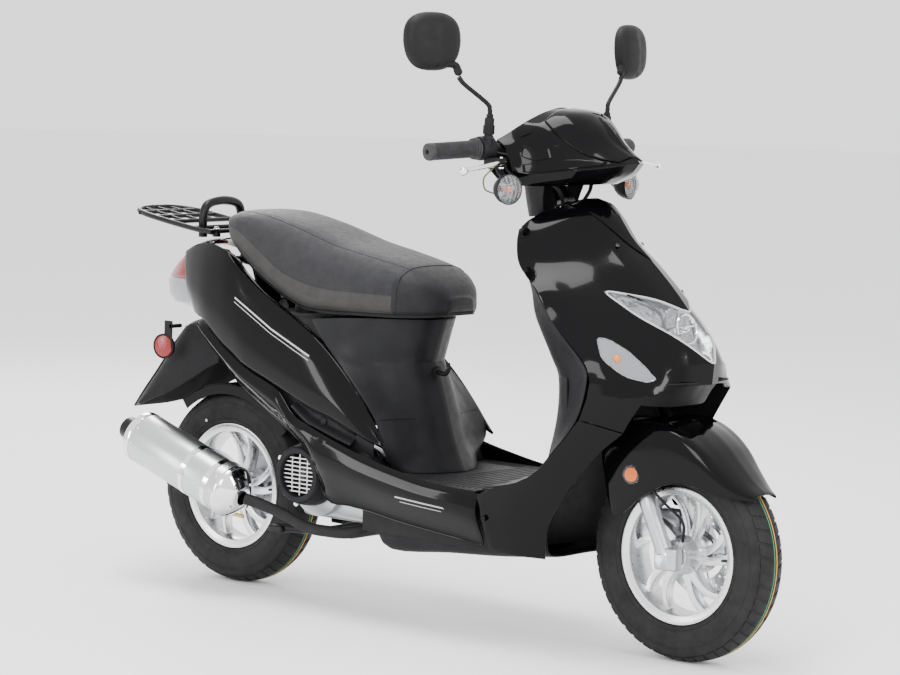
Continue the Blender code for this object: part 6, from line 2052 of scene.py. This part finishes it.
def fan_cover():
    """Fan cover with its louvres."""
    at = Matrix.Translation(FAN_CENTRE) @ Matrix.Rotation(math.pi / 2, 4, "X")
    shroud = turned([(.0462, .001), (.0672, .001), (.0692, .004), (.0697, .010), (.0680, .022),
                     (.0632, .046), (.0615, .051), (.0580, .0545), (.0500, .0556), (.0475, .0548),
                     (.0462, .0520), (.0460, .030), (0, .030), (0, .020), (.0460, .018)], 72, at)
    piece("fan_cover", shroud, "satin_plastic", "engine_unit", "fan_shroud")
    slats = []
    for k in range(9):
        z = -.036 + .009 * k
        reach = math.sqrt(.0448 ** 2 - z * z)
        slats.append(block((FAN_CENTRE.x - reach, FAN_CENTRE.y - .0470, FAN_CENTRE.z + z - .0012),
                           (FAN_CENTRE.x + reach, FAN_CENTRE.y - .0390, FAN_CENTRE.z + z + .0012)))
    for x in (-.022, 0, .022):
        reach = math.sqrt(.0448 ** 2 - x * x)
        slats.append(block((FAN_CENTRE.x + x - .0012, FAN_CENTRE.y - .0440, FAN_CENTRE.z - reach),
                           (FAN_CENTRE.x + x + .0012, FAN_CENTRE.y - .0395, FAN_CENTRE.z + reach)))
    piece("fan_louvres", merged(*slats), "brushed_steel", "engine_unit")
    blades = [turned([(0, .0010), (.0160, .0010), (.0180, -.004), (0, -.004)], 32,
                     about(FAN_CENTRE + Vector((0, -.0315, 0)), (0, -1, 0)))]
    piece("fan_hub", merged(*blades), "dark_steel", "engine_unit")
    screws = []
    for angle in (35, 150, 265):
        a = math.radians(angle)
        point = FAN_CENTRE + Vector((.0625 * math.cos(a), -.0470, .0625 * math.sin(a)))
        screws.append(bolt(point, (0, -1, 0), .0042, .0034))
    piece("fan_cover_screws", merged(*screws), "chrome", "engine_unit")


def exhaust():
    """Header pipe and the muffler with bands and rivets."""
    pipe = tube([(-.7890, -.045, .236), (-.772, -.050, .229), (-.766, -.080, .197),
                 (-.797, -.124, .174), (-.860, -.140, .171), (-.915, -.140, .174),
                 (-.985, -.142, .194), (-1.040, -.152, .209), (-1.072, -.166, .2180)], .0125, 8, 24)
    flange = rod((-.7914, -.045, .236), (-.7860, -.045, .236), .018, 24, None, .001)
    piece("header_pipe", merged(pipe, flange), "heat_paint", "engine_unit", "exhaust_pipe")
    at = about(CAN_FRONT, CAN_WAY)
    can = turned([(.0565, .0310), (.0575, .0330), (.0575, CAN_LENGTH - .012), (.0568, CAN_LENGTH - .010),
                  (.0560, CAN_LENGTH - .010), (.0560, .0310)], 96, at)
    piece("muffler_can", can, "muffler_skin", "engine_unit", "muffler")
    front = turned([(.0140, .001), (.0220, .001), (.0290, .0045), (.0420, .0150), (.0520, .0255),
                    (.0578, .0330), (.0582, .0370), (.0578, .0420), (.0550, .0420), (.0140, .0100)],
                   96, at)
    back = turned([(.0580, CAN_LENGTH - .018), (.0584, CAN_LENGTH - .014), (.0582, CAN_LENGTH - .004),
                   (.0560, CAN_LENGTH - .0005), (.0300, CAN_LENGTH + .0020), (.0262, CAN_LENGTH + .0040),
                   (.0200, CAN_LENGTH + .0040), (.0200, CAN_LENGTH - .018)], 96, at)
    piece("muffler_caps", merged(front, back), "chrome", "engine_unit")
    outlet = turned([(.0200, CAN_LENGTH - .010), (.0255, CAN_LENGTH - .010), (.0255, CAN_LENGTH + .0440),
                     (.0248, CAN_LENGTH + .0460), (.0215, CAN_LENGTH + .0460),
                     (.0210, CAN_LENGTH + .0440), (.0200, CAN_LENGTH + .002)], 48, at)
    piece("muffler_outlet", outlet, "black_paint", "engine_unit")
    bands = []
    for along in (.070, .142):
        bands.append(turned([(.0576, along - .0070), (.0588, along - .0066), (.0588, along + .0066),
                             (.0576, along + .0070)], 96, at))
        lug_at = at @ Vector((.0600, 0, along))
        bands.append(rod(lug_at + Vector((-.008, 0, 0)), lug_at + Vector((.008, 0, 0)), .0040, 14))
    piece("muffler_bands", merged(*bands), "chrome", "engine_unit")
    rivets = []
    for k in range(10):
        a = 2 * math.pi * k / 10
        for along in (.050, CAN_LENGTH - .026):
            point = at @ Vector((.0574 * math.cos(a), .0574 * math.sin(a), along))
            away = (at @ Vector((math.cos(a), math.sin(a), 0))) - (at @ Vector((0, 0, 0)))
            rivets.append(turned([(0, .0016), (.0016, .0013), (.0026, .0004), (.0028, -.001)], 12,
                                 about(point, away)))
    for k in range(4):
        a = 2 * math.pi * (k + .5) / 4
        point = at @ Vector((.0350 * math.cos(a), .0350 * math.sin(a), .0090))
        rivets.append(bolt(point, -CAN_WAY, .0040, .0045))
    piece("muffler_rivets", merged(*rivets), "chrome", "engine_unit")
    hanger = block((-1.222, -.1300, .2300), (-1.190, -.0690, .2440), .003)
    piece("muffler_hanger", hanger, "black_paint", "engine_unit")


def hugger():
    """Guard close over the rear tyre."""
    top = arc(-WHEELBASE, WHEEL_R, .2290, 128, 38, 26)
    low = arc(-WHEELBASE, WHEEL_R, .2260, 38, 128, 26)
    crown = slab(top + low, -.054, .054, axes="XZ")
    cheeks = []
    for side in (-1, 1):
        outline = arc(-WHEELBASE, WHEEL_R, .2280, 128, 38, 26) + arc(-WHEELBASE, WHEEL_R, .2060, 38, 128, 26)
        cheeks.append(slab(outline, *sorted((side * .0510, side * .0540)), axes="XZ"))
    piece("hugger", merged(crown, *cheeks), "gloss_black", "engine_unit", "rear_hugger")


def kick_lever():
    """Kick lever on its shaft."""
    x, y, z = KICK_PIVOT
    shaft = rod((x, y - .034, z), (x, y + .006, z), .0080, 28, None, .001)
    boss = rod((x, y - .004, z), (x, y + .006, z), .0130, 28, None, .0015)
    arm = tube([(x, y, z), (x - .070, y + .010, z - .012), (x - .150, y + .014, z - .020)],
               .0070, 8, 18)
    pedal = rod((x - .150, y + .008, z - .020), (x - .150, y + .062, z - .020), .0085, 28, None, .002)
    piece("kick_arm", merged(shaft, boss, arm, pedal), "cast_alloy", "kick_start", "kick_lever")


def shock_ends():
    """Both ends of the shock; the spring between them is the CAD one."""
    at = Matrix.Translation((SHOCK.x, SHOCK.y, 0))
    body = turned([(.0085, .445), (.0170, .445), (.0172, .448), (.0170, .560), (.0256, .563),
                   (.0260, .565), (.0260, .571), (.0250, .573), (.0120, .580), (.0120, .600),
                   (0, .600), (0, .590), (.0085, .590)], 40, at)
    eye = rod((SHOCK.x, SHOCK.y - .012, SHOCK_TOP_Z), (SHOCK.x, SHOCK.y + .012, SHOCK_TOP_Z),
              .0165, 32, None, .001)
    piece("shock_body", merged(body, eye), "black_paint", "shock_upper", "shock_tube")
    inner = turned([(0, .525), (.0075, .525), (.0075, .370), (.0254, .3665), (.0260, .3650),
                    (.0260, .3590), (.0250, .3575), (.0120, .350), (.0120, .335), (0, .335)], 40, at)
    low_eye = rod((SHOCK.x, SHOCK.y - .012, SHOCK_FOOT_Z + .0035),
                  (SHOCK.x, SHOCK.y + .012, SHOCK_FOOT_Z + .0035), .0155, 32, None, .001)
    piece("shock_shaft", merged(inner, low_eye), "chrome", "shock_lower", "shock_rod")


def centre_stand():
    """Centre stand."""
    x, _, z = STAND_PIVOT
    pipe = rod((x, -.085, z), (x, .085, z), .011, 28, None, .001)
    legs = [rod((x, side * .070, z), (x - .185, side * .100, z - .008), .009, 24)
            for side in (-1, 1)]
    brace = rod((x - .090, -.086, z - .0025), (x - .090, .086, z - .0025), .006, 20)
    feet = [block((x - .215, side * .100 - .016, z - .018), (x - .175, side * .100 + .016, z - .002),
                  .004, None, 3) for side in (-1, 1)]
    piece("stand_legs", merged(pipe, *legs, brace, *feet), "black_paint", "stand", "centre_stand")


engine_case()
fan_cover()
exhaust()
hugger()
kick_lever()
shock_ends()
centre_stand()


# ---------------------------------------------------------------- finish of the plain CAD nodes
def dress_cad_nodes():
    """Give each CAD node the material of its slot."""
    slots = {entry["node"]: entry["material_slot"] for entry in frame["record"]["subparts"]}
    for name, obj in frame["nodes"].items():
        obj.data.materials.clear()
        obj.data.materials.append(MAT[slots[name]])


dress_cad_nodes()
